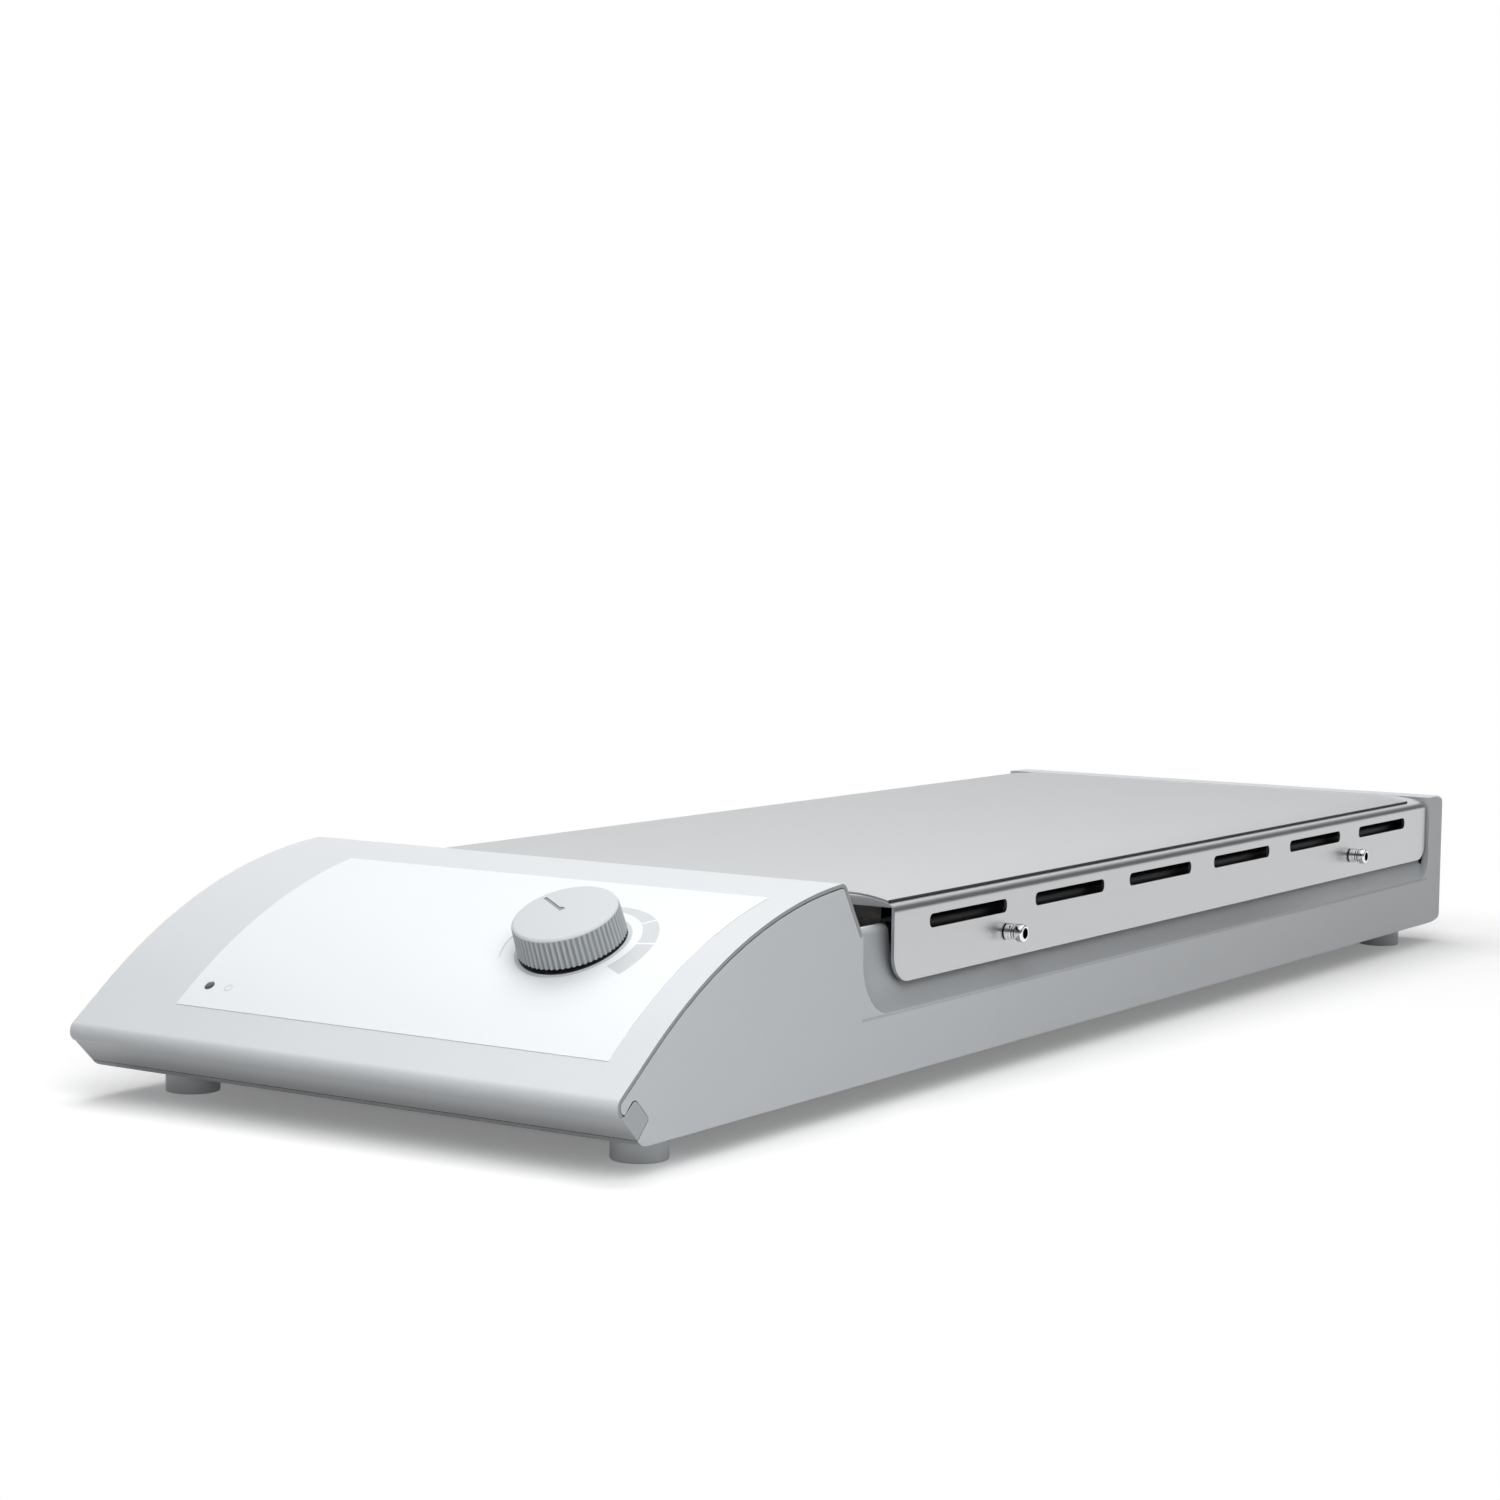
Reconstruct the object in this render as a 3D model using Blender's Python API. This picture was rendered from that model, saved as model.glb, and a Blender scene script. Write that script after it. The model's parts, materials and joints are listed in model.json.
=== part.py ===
"""Ten-position magnetic stirrer: a long flat bench housing with a sloping control console in front.

Metres, +Z up.  The origin lies on the bench under the middle of the housing, +X is the right side
seen from the console, and +Y runs from the console to the rear.  Places along the housing are
measured from the tip of the console's nose, and station() turns them into Y.
"""
import math

import bpy
import bmesh
from mathutils import Matrix, Vector

# Whole object
overall_length = 0.552
overall_width = 0.182
ground_clearance = 0.0081
seat_gap = 0.0003
cut_overrun = 0.004

# Housing tray
wall = 0.0025
floor_thickness = 0.0025
rear_corner_radius = 0.0028
rear_edge_bevel = 0.0022
rear_shelf_drop = 0.0004
rear_shelf_depth = 0.0157
rim_drop = 0.0079
rim_radius = 0.0020
crease_drop = 0.0078
recess_waist_rise = 0.0060
recess_waist_inset = 0.0040
recess_top_inset = 0.0055
recess_corner_radius = 0.016
recess_rear_radius = 0.008
front_rib_depth = 0.0025
lower_lip_turn = math.radians(50)
back_panel_depth = 0.0030
back_panel_side_margin = 0.0110
back_panel_low_margin = 0.0059
back_panel_top_margin = 0.0062

# Front sill, a bar under the console's nose
sill_top_slack = 0.0004
sill_face_depth = 0.0062
sill_face_drop = 0.0057
sill_heel_depth = 0.0046
sill_heel_rise = 0.0047
sill_crown_depth = 0.0048
sill_crown_rise = 0.0047
sill_crown_radius = 0.0016
sill_heel_radius = 0.0005
sill_toe_radius = 0.0003

# Console cover, a bent sheet
cover_thickness = 0.0010
nose_radius = 0.0030
nose_rise = 0.0109
nose_roll_end = math.radians(249)
console_slope = math.radians(37)
console_bend_radius = 0.165
crest_slope = math.radians(4)
crest_rise = 0.0067
crest_bend_radius = 0.0030
fold_slope = math.radians(58)
fold_end_drop = 0.0002

# Console overlay, a membrane with a printed face
overlay_thickness = 0.0004
overlay_left_margin = 0.02955
overlay_right_margin = 0.00955
overlay_start_run = 0.0115
overlay_length = 0.0792

# Work plate, a drawn stainless tray turned upside down
plate_thickness = 0.0010
plate_side_inset = 0.0010
plate_gutter = 0.0188
plate_flange_depth = 0.0238
plate_crown_radius = 0.048
plate_crown_angle = math.radians(15.8)
plate_bend_radius = 0.0028
plate_front_radius = 0.0014
plate_rear_radius = 0.0050
plate_lip_height = 0.0028
plate_corner_radius = 0.0080
slot_count = 6
slot_front_margin = 0.0195
slot_rear_margin = 0.0228
slot_bridge = 0.0178
slot_height = 0.0040
slot_corner_radius = 0.0012
slot_centre_drop = 0.0084

# Silicone film on the work plate
film_thickness = 0.0005
film_front_margin = 0.0015
film_rear_margin = 0.0140

# Studs that hold the work plate to the housing
stud_drop = 0.0162
stud_front_place = 0.0650
stud_rear_inset = 0.0760
stud_shank_radius = 0.0016
stud_shank_length = 0.0055
stud_collar_radius = 0.0030
stud_collar_length = 0.0016
stud_neck_radius = 0.0022
stud_bush_radius = 0.00255
stud_bush_length = 0.0022
stud_groove_radius = 0.0021
stud_groove_length = 0.0004
stud_ring_length = 0.0004
stud_head_radius = 0.0026
stud_head_length = 0.0025
stud_head_chamfer = 0.0005
stud_socket_radius = 0.0015
stud_socket_depth = 0.0020

# Feet and their screws
foot_radius = 0.0075
foot_edge_radius = 0.0007
foot_side_inset = 0.0155
foot_front_place = 0.0315
foot_rear_inset = 0.0245
foot_recess_radius = 0.0042
foot_recess_depth = 0.0040
foot_screw_radius = 0.0019
foot_screw_head_radius = 0.0036
foot_screw_head_height = 0.0026
foot_screw_reach = 0.0010
foot_screw_slot_width = 0.0009
foot_screw_slot_depth = 0.0011

# Speed knob, its shaft and the potentiometer behind it
knob_margin = 0.03745
knob_run = 0.0528
knob_radius = 0.0147
knob_taper = 0.0004
knob_base_height = 0.0013
knob_height = 0.0095
knob_edge_radius = 0.0010
knob_edge_share = 0.6
knob_flute_count = 60
knob_flute_depth = 0.00045
knob_cavity_radius = 0.0125
knob_cavity_depth = 0.0023
knob_bore_depth = 0.0038
knob_pointer_angle = math.radians(150)
knob_pointer_inner = 0.0034
knob_pointer_outer = 0.0124
knob_pointer_width = 0.0007
knob_pointer_depth = 0.0005
shaft_radius = 0.0030
shaft_insertion = 0.0065
dial_bush_radius = 0.0045
dial_bush_rise = 0.0030
dial_face_gap = 0.0006
dial_body_radius = 0.0085
dial_body_depth = 0.0087
dial_floor = 0.0020
dial_nut_radius = 0.0060
dial_nut_height = 0.0021

# Power lamp, a short light pipe from the board to the overlay
lamp_margin = 0.00615
lamp_run = 0.0190
lamp_radius = 0.00125
lamp_rise = 0.0004
lamp_shoulder_radius = 0.0020
lamp_shoulder_length = 0.0010

# Control board
board_side_margin = 0.0225
board_front_place = 0.0170
board_rear_place = 0.0520
board_stand = 0.0064
board_thickness = 0.0016
board_hole_inset = 0.0040
board_boss_radius = 0.0030
board_stake_radius = 0.0012
board_stake_rise = 0.0008

# Rotor deck, the sheet that carries the stirring rotors
deck_side_margin = 0.0050
deck_front_place = 0.1450
deck_rear_gap = 0.0010
rotor_stand = 0.0170
deck_thickness = 0.0015
deck_hole_inset = 0.0080
deck_boss_radius = 0.0050
deck_stake_radius = 0.0020
deck_stake_rise = 0.0012
axle_radius = 0.0030
axle_foot_radius = 0.0055

# Stirring rotors: a grooved pulley with a bar magnet let into its top
row_count = 2
rotors_per_row = 5
row_side_margin = 0.0330
rotor_front_margin = 0.0285
rotor_rear_margin = 0.0265
rotor_radius = 0.0200
rotor_rim_height = 0.0105
rotor_roof = 0.0030
belt_rise = 0.0090
belt_radius = 0.0020
belt_seat_radius = 0.0164
nearly_whole_share = 0.95
magnet_length = 0.0380
magnet_width = 0.0100
magnet_height = 0.0100
magnet_seat_depth = 0.0018
magnet_headroom = 0.00235

# Motor: a shaded-pole motor that stands on the floor behind the board
motor_place = 0.0820
motor_stand = 0.0084
stack_height = 0.0120
pole_half_width = 0.0160
stack_half_depth = 0.0210
stack_leg_width = 0.0100
stack_arm_width = 0.0100
stack_back_reach = 0.0440
motor_rotor_radius = 0.0110
motor_air_gap = 0.0005
coil_wall = 0.0062
coil_end_clearance = 0.0006
bracket_thickness = 0.0015
bracket_half_width = 0.0120
bracket_overhang = 0.0050
bearing_radius = 0.0050
bearing_depth = 0.0030
motor_shaft_radius = 0.0020
motor_shaft_tail = 0.0015
drive_seat_radius = 0.0060
drive_flange_radius = 0.0098

# Mains inlet, fuse holder and switch in the back panel
inlet_side_margin = 0.0300
inlet_rise = 0.0180
inlet_width = 0.0266
inlet_tall = 0.0190
inlet_depth = 0.0220
inlet_corner_radius = 0.0012
inlet_flange_border = 0.0022
inlet_flange_thickness = 0.0018
inlet_mouth_width = 0.0226
inlet_mouth_tall = 0.0148
inlet_mouth_depth = 0.0175
inlet_mouth_chamfer = 0.0036
pin_spacing = 0.0070
pin_offset = 0.0020
pin_width = 0.0020
pin_tall = 0.0040
pin_length = 0.0120
pin_tab_length = 0.0060
fuse_spacing = 0.0300
fuse_body_radius = 0.0058
fuse_body_length = 0.0250
fuse_flange_radius = 0.0075
fuse_flange_thickness = 0.0010
fuse_cap_radius = 0.0050
fuse_cap_height = 0.0013
fuse_slot_width = 0.0012
fuse_slot_depth = 0.0008
switch_spacing = 0.0250
switch_width = 0.0130
switch_tall = 0.0192
switch_depth = 0.0140
switch_flange_border = 0.0012
switch_flange_thickness = 0.0014
switch_frame = 0.0010
rocker_depth = 0.0050
rocker_dish = 0.0009
rocker_proud = 0.0002
rocker_pivot_radius = 0.0010
rocker_tilt = math.radians(8)
rocker_clearance = 0.0004

# Internal mains harness, laid along the left wall
harness_radius = 0.0025
harness_lane_inset = 0.0065
harness_floor_rise = 0.0017
harness_bend = 0.0120
harness_end_gap = 0.0008
harness_drop_reach = 0.0264
harness_climb_reach = 0.0060

# How finely curves are faceted
chord_error = 0.00005
widest_arc_step = math.radians(30)
belt_arc_step = math.radians(15)
belt_sides = 6
small_round = 12
rotor_round = 20
medium_round = 24
smooth_angle = math.radians(35)
round_profile_share = 0.5

# Heights, worked out from the floor up: motor, belt, rotors and magnets, then the plate over them
floor_top = ground_clearance + floor_thickness
board_bottom = floor_top + board_stand
stack_bottom = floor_top + motor_stand
belt_height = stack_bottom + stack_height + belt_rise
deck_bottom = belt_height - rotor_stand
magnet_bottom = belt_height + rotor_rim_height / 2 - magnet_seat_depth + seat_gap
plate_top = magnet_bottom + magnet_height + magnet_headroom + plate_thickness
plate_flange_bottom = plate_top - plate_flange_depth
slot_centre_height = plate_top - slot_centre_drop
stud_height = plate_top - stud_drop
rear_shelf_top = plate_top - rear_shelf_drop
rim_height = plate_top - rim_drop
crease_height = plate_flange_bottom - crease_drop
recess_waist_height = crease_height + recess_waist_rise
nose_height = ground_clearance + nose_rise
crest_height = plate_top + crest_rise
fold_end_height = rim_height - fold_end_drop
back_panel_bottom = ground_clearance + back_panel_low_margin
back_panel_top = rear_shelf_top - back_panel_top_margin
inlet_height = back_panel_bottom + inlet_rise

# Widths and places across the part, worked out from the overall width
half_width = overall_width / 2
plate_width = overall_width - 2 * plate_side_inset
overlay_left = -half_width + overlay_left_margin
overlay_right = half_width - overlay_right_margin
knob_place_x = overlay_right - knob_margin
lamp_place_x = overlay_left + lamp_margin
board_half_width = half_width - wall - board_side_margin
deck_half_width = half_width - recess_top_inset - wall - deck_side_margin
row_spacing = 2 * (deck_half_width - row_side_margin)
back_panel_half_width = half_width - back_panel_side_margin
inlet_place_x = -back_panel_half_width + inlet_side_margin
fuse_place_x = inlet_place_x + fuse_spacing
switch_place_x = fuse_place_x + switch_spacing


def station(distance):
    """Y of a place that is measured from the nose tip."""
    return distance - overall_length / 2


def clear_scene():
    for item in list(bpy.data.objects):
        bpy.data.objects.remove(item, do_unlink=True)


def material(name, colour, roughness, metallic=0.0):
    """A Principled material, made once for each name."""
    made = bpy.data.materials.get(name)
    if made is None:
        made = bpy.data.materials.new(name)
        made.use_nodes = True
        shader = made.node_tree.nodes["Principled BSDF"]
        shader.inputs["Base Color"].default_value = (*colour, 1.0)
        shader.inputs["Roughness"].default_value = roughness
        shader.inputs["Metallic"].default_value = metallic
        made.diffuse_color = (*colour, 1.0)
    return made


def place_mesh(name, shape, finish, placement=None):
    """Turn a bmesh into a named object whose faces point outwards."""
    bmesh.ops.recalc_face_normals(shape, faces=shape.faces[:])
    mesh = bpy.data.meshes.new(name)
    shape.to_mesh(mesh)
    shape.free()
    mesh.shade_smooth()
    mesh.set_sharp_from_angle(angle=smooth_angle)
    item = bpy.data.objects.new(name, mesh)
    if placement is not None:
        item.matrix_world = placement
    if finish is not None:
        mesh.materials.append(finish)
    bpy.context.scene.collection.objects.link(item)
    return item


def prism(name, outline, low, high, axis, finish=None, placement=None):
    """A flat outline pushed from low to high along an axis: the outline is YZ, XZ or XY."""
    lay = {"X": lambda u, v, w: (w, u, v),
           "Y": lambda u, v, w: (u, w, v),
           "Z": lambda u, v, w: (u, v, w)}[axis]
    shape = bmesh.new()
    rings = [[shape.verts.new(lay(u, v, w)) for u, v in outline] for w in (low, high)]
    shape.faces.new(rings[0])
    shape.faces.new(rings[1])
    count = len(outline)
    for index in range(count):
        after = (index + 1) % count
        shape.faces.new((rings[0][index], rings[0][after], rings[1][after], rings[1][index]))
    return place_mesh(name, shape, finish, placement)


def block(name, low, high, finish=None, placement=None):
    """A box between two corners."""
    outline = [(low[0], low[1]), (high[0], low[1]), (high[0], high[1]), (low[0], high[1])]
    return prism(name, outline, low[2], high[2], "Z", finish, placement)


def hexagon_factor(angle):
    """How far a hexagon's side lies from its centre, as a share of its flat's distance."""
    side = math.pi / 3
    return 1.0 / math.cos((angle + side / 2) % side - side / 2)


def turned(name, profile, segments, finish=None, placement=None, hexagon_rows=()):
    """A (radius, height) profile turned about local Z.

    A profile that starts and ends on the axis gives a solid, and any other is closed into a ring.
    """
    shape = bmesh.new()
    rows = []
    for number, (radius, height) in enumerate(profile):
        if radius == 0:
            rows.append([shape.verts.new((0, 0, height))] * segments)
            continue
        row = []
        for index in range(segments):
            angle = math.tau * index / segments
            reach = radius * (hexagon_factor(angle) if number in hexagon_rows else 1.0)
            row.append(shape.verts.new((reach * math.cos(angle), reach * math.sin(angle), height)))
        rows.append(row)
    pairs = list(zip(rows, rows[1:]))
    if profile[0][0] != 0:
        pairs.append((rows[-1], rows[0]))
    for first, second in pairs:
        for index in range(segments):
            after = (index + 1) % segments
            corners = [first[index], first[after], second[after], second[index]]
            unique = list(dict.fromkeys(corners))
            if len(unique) > 2:
                shape.faces.new(unique)
    return place_mesh(name, shape, finish, placement)


def combine(target, tool, operation):
    """Boolean the tool with the target, and keep the tool as a hidden wire guide."""
    step = target.modifiers.new(operation.lower(), "BOOLEAN")
    step.operation = operation
    step.solver = "EXACT"
    step.object = tool
    tool.hide_render = True
    tool.display_type = "WIRE"


def cut(target, *tools):
    for tool in tools:
        combine(target, tool, "DIFFERENCE")


def fuse(target, *tools):
    for tool in tools:
        combine(target, tool, "UNION")


def arc(centre, radius, start, end, nominal=None):
    """Points on an arc, both ends included, as close together as the nominal radius asks for."""
    sweep = 2 * math.acos(1 - chord_error / max(nominal or radius, 2 * chord_error))
    steps = max(2, math.ceil(abs(end - start) / min(sweep, widest_arc_step)))
    angles = [start + (end - start) * index / steps for index in range(steps + 1)]
    return [(centre[0] + radius * math.cos(a), centre[1] + radius * math.sin(a)) for a in angles]


def rounded_rectangle(centre, width, height, radius):
    """A rectangle with round corners, counter-clockwise."""
    points = []
    for number, (side_u, side_v) in enumerate(((1, 1), (-1, 1), (-1, -1), (1, -1))):
        corner = (centre[0] + side_u * (width / 2 - radius), centre[1] + side_v * (height / 2 - radius))
        points += arc(corner, radius, number * math.pi / 2, (number + 1) * math.pi / 2)
    return points


def softened(corners):
    """A counter-clockwise outline from (corner, radius) pairs, with each corner rounded."""
    points = []
    count = len(corners)
    for index, (corner, radius) in enumerate(corners):
        here = Vector(corner)
        if radius == 0:
            points.append(tuple(here))
            continue
        before = (Vector(corners[index - 1][0]) - here).normalized()
        after = (Vector(corners[(index + 1) % count][0]) - here).normalized()
        half_angle = before.angle(after) / 2
        centre = here + (before + after).normalized() * (radius / math.sin(half_angle))
        first = here + before * (radius / math.tan(half_angle)) - centre
        sweep = math.pi - 2 * half_angle
        start = math.atan2(first.y, first.x)
        points += arc(tuple(centre), radius, start, start + sweep)
    return points


def grown(outline, distance):
    """The outline with every side pushed out by a distance (counter-clockwise outlines)."""
    result = []
    count = len(outline)
    for index in range(count):
        before = Vector(outline[index - 1])
        here = Vector(outline[index])
        after = Vector(outline[(index + 1) % count])
        first = (here - before).normalized()
        second = (after - here).normalized()
        first_normal = Vector((first.y, -first.x))
        second_normal = Vector((second.y, -second.x))
        push = (first_normal + second_normal).normalized()
        result.append(tuple(here + push * (distance / push.dot(first_normal))))
    return result


# The console's outer face: a rolled nose, a straight run, a long bend, a crest and a fold behind it

nose_centre = (nose_radius, nose_height)
straight_start = (nose_radius - nose_radius * math.sin(console_slope),
                  nose_height + nose_radius * math.cos(console_slope))
bend_rise = console_bend_radius * (math.cos(crest_slope) - math.cos(console_slope))
bend_reach = console_bend_radius * (math.sin(console_slope) - math.sin(crest_slope))
straight_run = (crest_height - straight_start[1] - bend_rise) / math.sin(console_slope)
crest_place = straight_start[0] + straight_run * math.cos(console_slope) + bend_reach
bend_centre = (crest_place + console_bend_radius * math.sin(crest_slope),
               crest_height - console_bend_radius * math.cos(crest_slope))
crest_centre = (crest_place + crest_bend_radius * math.sin(crest_slope),
                crest_height - crest_bend_radius * math.cos(crest_slope))
fold_start = (crest_centre[0] + crest_bend_radius * math.sin(fold_slope),
              crest_centre[1] + crest_bend_radius * math.cos(fold_slope))
fold_end_place = fold_start[0] + (fold_start[1] - fold_end_height) / math.tan(fold_slope)
fold_shelf = fold_end_height - cover_thickness * math.cos(fold_slope) - seat_gap
recess_front = fold_end_place + 2 * seat_gap
deck_region_rear = overall_length - rear_shelf_depth
plate_front = fold_end_place + plate_gutter
plate_rear = deck_region_rear - seat_gap

# Places along the work plate and the deck, worked out from their ends
slot_pitch = (plate_rear - plate_front - slot_front_margin - slot_rear_margin + slot_bridge) / slot_count
slot_length = slot_pitch - slot_bridge
deck_rear_place = overall_length - back_panel_depth - inlet_depth - pin_tab_length - deck_rear_gap
first_rotor_place = deck_front_place + rotor_front_margin
rotor_pitch = (deck_rear_place - rotor_rear_margin - first_rotor_place) / (rotors_per_row - 1)


def console_face(inset):
    """The console's face from the nose's lower end to the fold's lower end, moved in by inset."""
    upright = math.pi / 2
    bends = ((nose_centre, nose_radius, nose_roll_end, upright + console_slope),
             (bend_centre, console_bend_radius, upright + console_slope, upright + crest_slope),
             (crest_centre, crest_bend_radius, upright + crest_slope, upright - fold_slope))
    points = []
    for centre, radius, start, end in bends:
        points += arc(centre, radius - inset, start, end, nominal=radius)
    fold_line_place = fold_end_place - inset * math.sin(fold_slope)
    fold_line_height = fold_end_height - inset * math.cos(fold_slope)
    points.append((fold_line_place, fold_line_height))
    return points


def console_spot(run, rise=0.0):
    """Place, height and slope of a point that lies a run along the face, and a rise above it."""
    if run < straight_run:
        slope = console_slope
        foot = (straight_start[0] + run * math.cos(slope), straight_start[1] + run * math.sin(slope))
    else:
        slope = console_slope - (run - straight_run) / console_bend_radius
        foot = (bend_centre[0] - console_bend_radius * math.sin(slope),
                bend_centre[1] + console_bend_radius * math.cos(slope))
    return foot[0] - rise * math.sin(slope), foot[1] + rise * math.cos(slope), slope


def console_placement(x, run):
    """A frame on the console's face: local Z points out of the face and local Y up the slope."""
    place, height, slope = console_spot(run)
    return Matrix.Translation((x, station(place), height)) @ Matrix.Rotation(slope, 4, "X")


def cylinder_cut(name, radius, low, high, placement, segments=medium_round):
    """A round cutter along local Z."""
    return turned(name, [(0, low), (radius, low), (radius, high), (0, high)], segments, None, placement)


def stations(outline):
    """An outline in places and heights, with its places turned into Y."""
    return [(station(place), height) for place, height in outline]


# Finishes

painted = material("housing_paint", (0.46, 0.49, 0.51), 0.42)
cover_paint = material("console_paint", (0.72, 0.75, 0.77), 0.40)
membrane = material("overlay_membrane", (0.90, 0.94, 0.97), 0.35)
stainless = material("plate_stainless", (0.60, 0.61, 0.62), 0.28, 1.0)
silicone = material("plate_silicone", (0.56, 0.57, 0.58), 0.55)
rubber = material("foot_rubber", (0.38, 0.40, 0.42), 0.60)
chrome = material("polished_chrome", (0.85, 0.86, 0.87), 0.08, 1.0)
grey_plastic = material("knob_plastic", (0.62, 0.65, 0.67), 0.45)
dark_plastic = material("dark_plastic", (0.03, 0.03, 0.035), 0.45)
lamp_plastic = material("lamp_plastic", (0.16, 0.17, 0.18), 0.20)
zinc = material("zinc_steel", (0.55, 0.56, 0.57), 0.35, 1.0)
board_green = material("circuit_board", (0.03, 0.16, 0.07), 0.50)
white_plastic = material("rotor_plastic", (0.80, 0.80, 0.78), 0.40)
magnet_nickel = material("magnet_nickel", (0.62, 0.60, 0.57), 0.25, 1.0)
lamination = material("motor_lamination", (0.30, 0.31, 0.33), 0.45, 1.0)
coil_tape = material("coil_tape", (0.55, 0.36, 0.06), 0.55)
belt_rubber = material("belt_rubber", (0.02, 0.02, 0.02), 0.65)
brass = material("inlet_brass", (0.72, 0.62, 0.42), 0.30, 1.0)
harness_sleeve = material("harness_sleeve", (0.05, 0.05, 0.055), 0.60)


# Sill outline, shared by the sill and the notch that takes it

sill_nose = (nose_centre[0] + nose_radius * math.cos(nose_roll_end) + sill_top_slack / 2,
             nose_centre[1] + nose_radius * math.sin(nose_roll_end) - sill_top_slack)
sill_toe = (sill_nose[0] + sill_face_depth, sill_nose[1] - sill_face_drop)
sill_heel = (sill_toe[0] + sill_heel_depth, sill_toe[1] + sill_heel_rise)
sill_crown = (sill_nose[0] + sill_crown_depth, sill_nose[1] + sill_crown_rise)
sill_outline = softened([(sill_nose, 0), (sill_toe, sill_toe_radius), (sill_heel, sill_heel_radius),
                         (sill_crown, sill_crown_radius)])


def recess_face(height):
    """X of the recessed side wall's outer face, which leans in above the crease."""
    if height <= crease_height:
        return half_width
    span = rim_height - crease_height
    share = min(1, (height - crease_height) / span)
    waist_share = (recess_waist_height - crease_height) / span
    # a quadratic curve through the crease, drawn towards the waist, up to the rim
    rest_share = 1 - 2 * waist_share
    bend = (math.sqrt(waist_share ** 2 + rest_share * share) - waist_share) / rest_share
    face = (half_width * (1 - bend) ** 2 + 2 * (half_width - recess_waist_inset) * bend * (1 - bend)
            + (half_width - recess_top_inset) * bend ** 2)
    below_rim = rim_height - height
    if 0 <= below_rim < rim_radius:
        lift = rim_radius - below_rim
        face -= rim_radius - math.sqrt(rim_radius ** 2 - lift ** 2)
    return face


def recess_levels():
    """Heights at which the recessed wall is sampled: up its rounded corner, up the wall, over the rim."""
    corner_steps, wall_steps, rim_steps = 8, 2, 4
    turn = math.pi / 2
    corner_top = crease_height + recess_corner_radius
    wall_top = rim_height - rim_radius
    corner = [corner_top - recess_corner_radius * math.cos(turn * step / corner_steps)
              for step in range(corner_steps + 1)]
    upright = [corner_top + (wall_top - corner_top) * (step + 1) / wall_steps for step in range(wall_steps)]
    rim = [wall_top + rim_radius * math.sin(turn * (step + 1) / rim_steps) for step in range(rim_steps)]
    return corner + upright + rim


def recess_cutter(side):
    """What is taken off one side above the crease, with rounded lower corners."""
    outside = half_width + cut_overrun
    levels = recess_levels() + [rim_height + cut_overrun]
    shape = bmesh.new()
    rings = []
    for height in levels:
        ends = []
        for radius in (recess_corner_radius, recess_rear_radius):
            depth = max(0.0, crease_height + radius - height)
            ends.append(radius - math.sqrt(max(0.0, radius ** 2 - depth ** 2)))
        front = station(recess_front + ends[0])
        rear = station(deck_region_rear + seat_gap - ends[1])
        face = recess_face(min(height, rim_height))
        ring = [(side * face, front), (side * outside, front), (side * outside, rear), (side * face, rear)]
        rings.append([shape.verts.new((x, y, height)) for x, y in ring])
    shape.faces.new(rings[0])
    shape.faces.new(rings[-1])
    for lower, upper in zip(rings, rings[1:]):
        for index in range(4):
            after = (index + 1) % 4
            shape.faces.new((lower[index], lower[after], upper[after], upper[index]))
    return place_mesh("recess_cutter", shape, None)


def boss(name, x, y, boss_top, boss_radius, stake_radius, stake_top):
    """A round boss on the housing floor with a staked pin on top."""
    foot = floor_top - floor_thickness / 2
    profile = [(0, foot), (boss_radius, foot), (boss_radius, boss_top), (stake_radius, boss_top),
               (stake_radius, stake_top), (0, stake_top)]
    return turned(name, profile, small_round, None, Matrix.Translation((x, y, 0)))


def board_holes():
    x = board_half_width - board_hole_inset
    places = (board_front_place + board_hole_inset, board_rear_place - board_hole_inset)
    return [(side * x, station(place)) for side in (-1, 1) for place in places]


def deck_holes():
    x = deck_half_width - deck_hole_inset
    front = deck_front_place + deck_hole_inset
    rear = deck_rear_place - deck_hole_inset
    places = (front, (front + rear) / 2, rear)
    return [(side * x, station(place)) for side in (-1, 1) for place in places]


def foot_spots():
    """Name, X and Y of each foot."""
    x = half_width - foot_side_inset
    places = {"front": foot_front_place, "rear": overall_length - foot_rear_inset}
    sides = {"left": -1, "right": 1}
    return [(f"{end}_{hand}", sides[hand] * x, station(places[end])) for end in places for hand in sides]


def stud_spots():
    """Name, side, Y of each plate stud."""
    places = {"front": plate_front + stud_front_place, "rear": plate_rear - stud_rear_inset}
    sides = {"left": -1, "right": 1}
    return [(f"{end}_{hand}", sides[hand], station(places[end])) for end in places for hand in sides]


def stud_placement(side, y):
    """Local Z points out of the flange's outer face."""
    turn = Matrix.Rotation(math.pi / 2 * side, 4, "Y")
    return Matrix.Translation((side * plate_width / 2, y, stud_height)) @ turn


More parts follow.
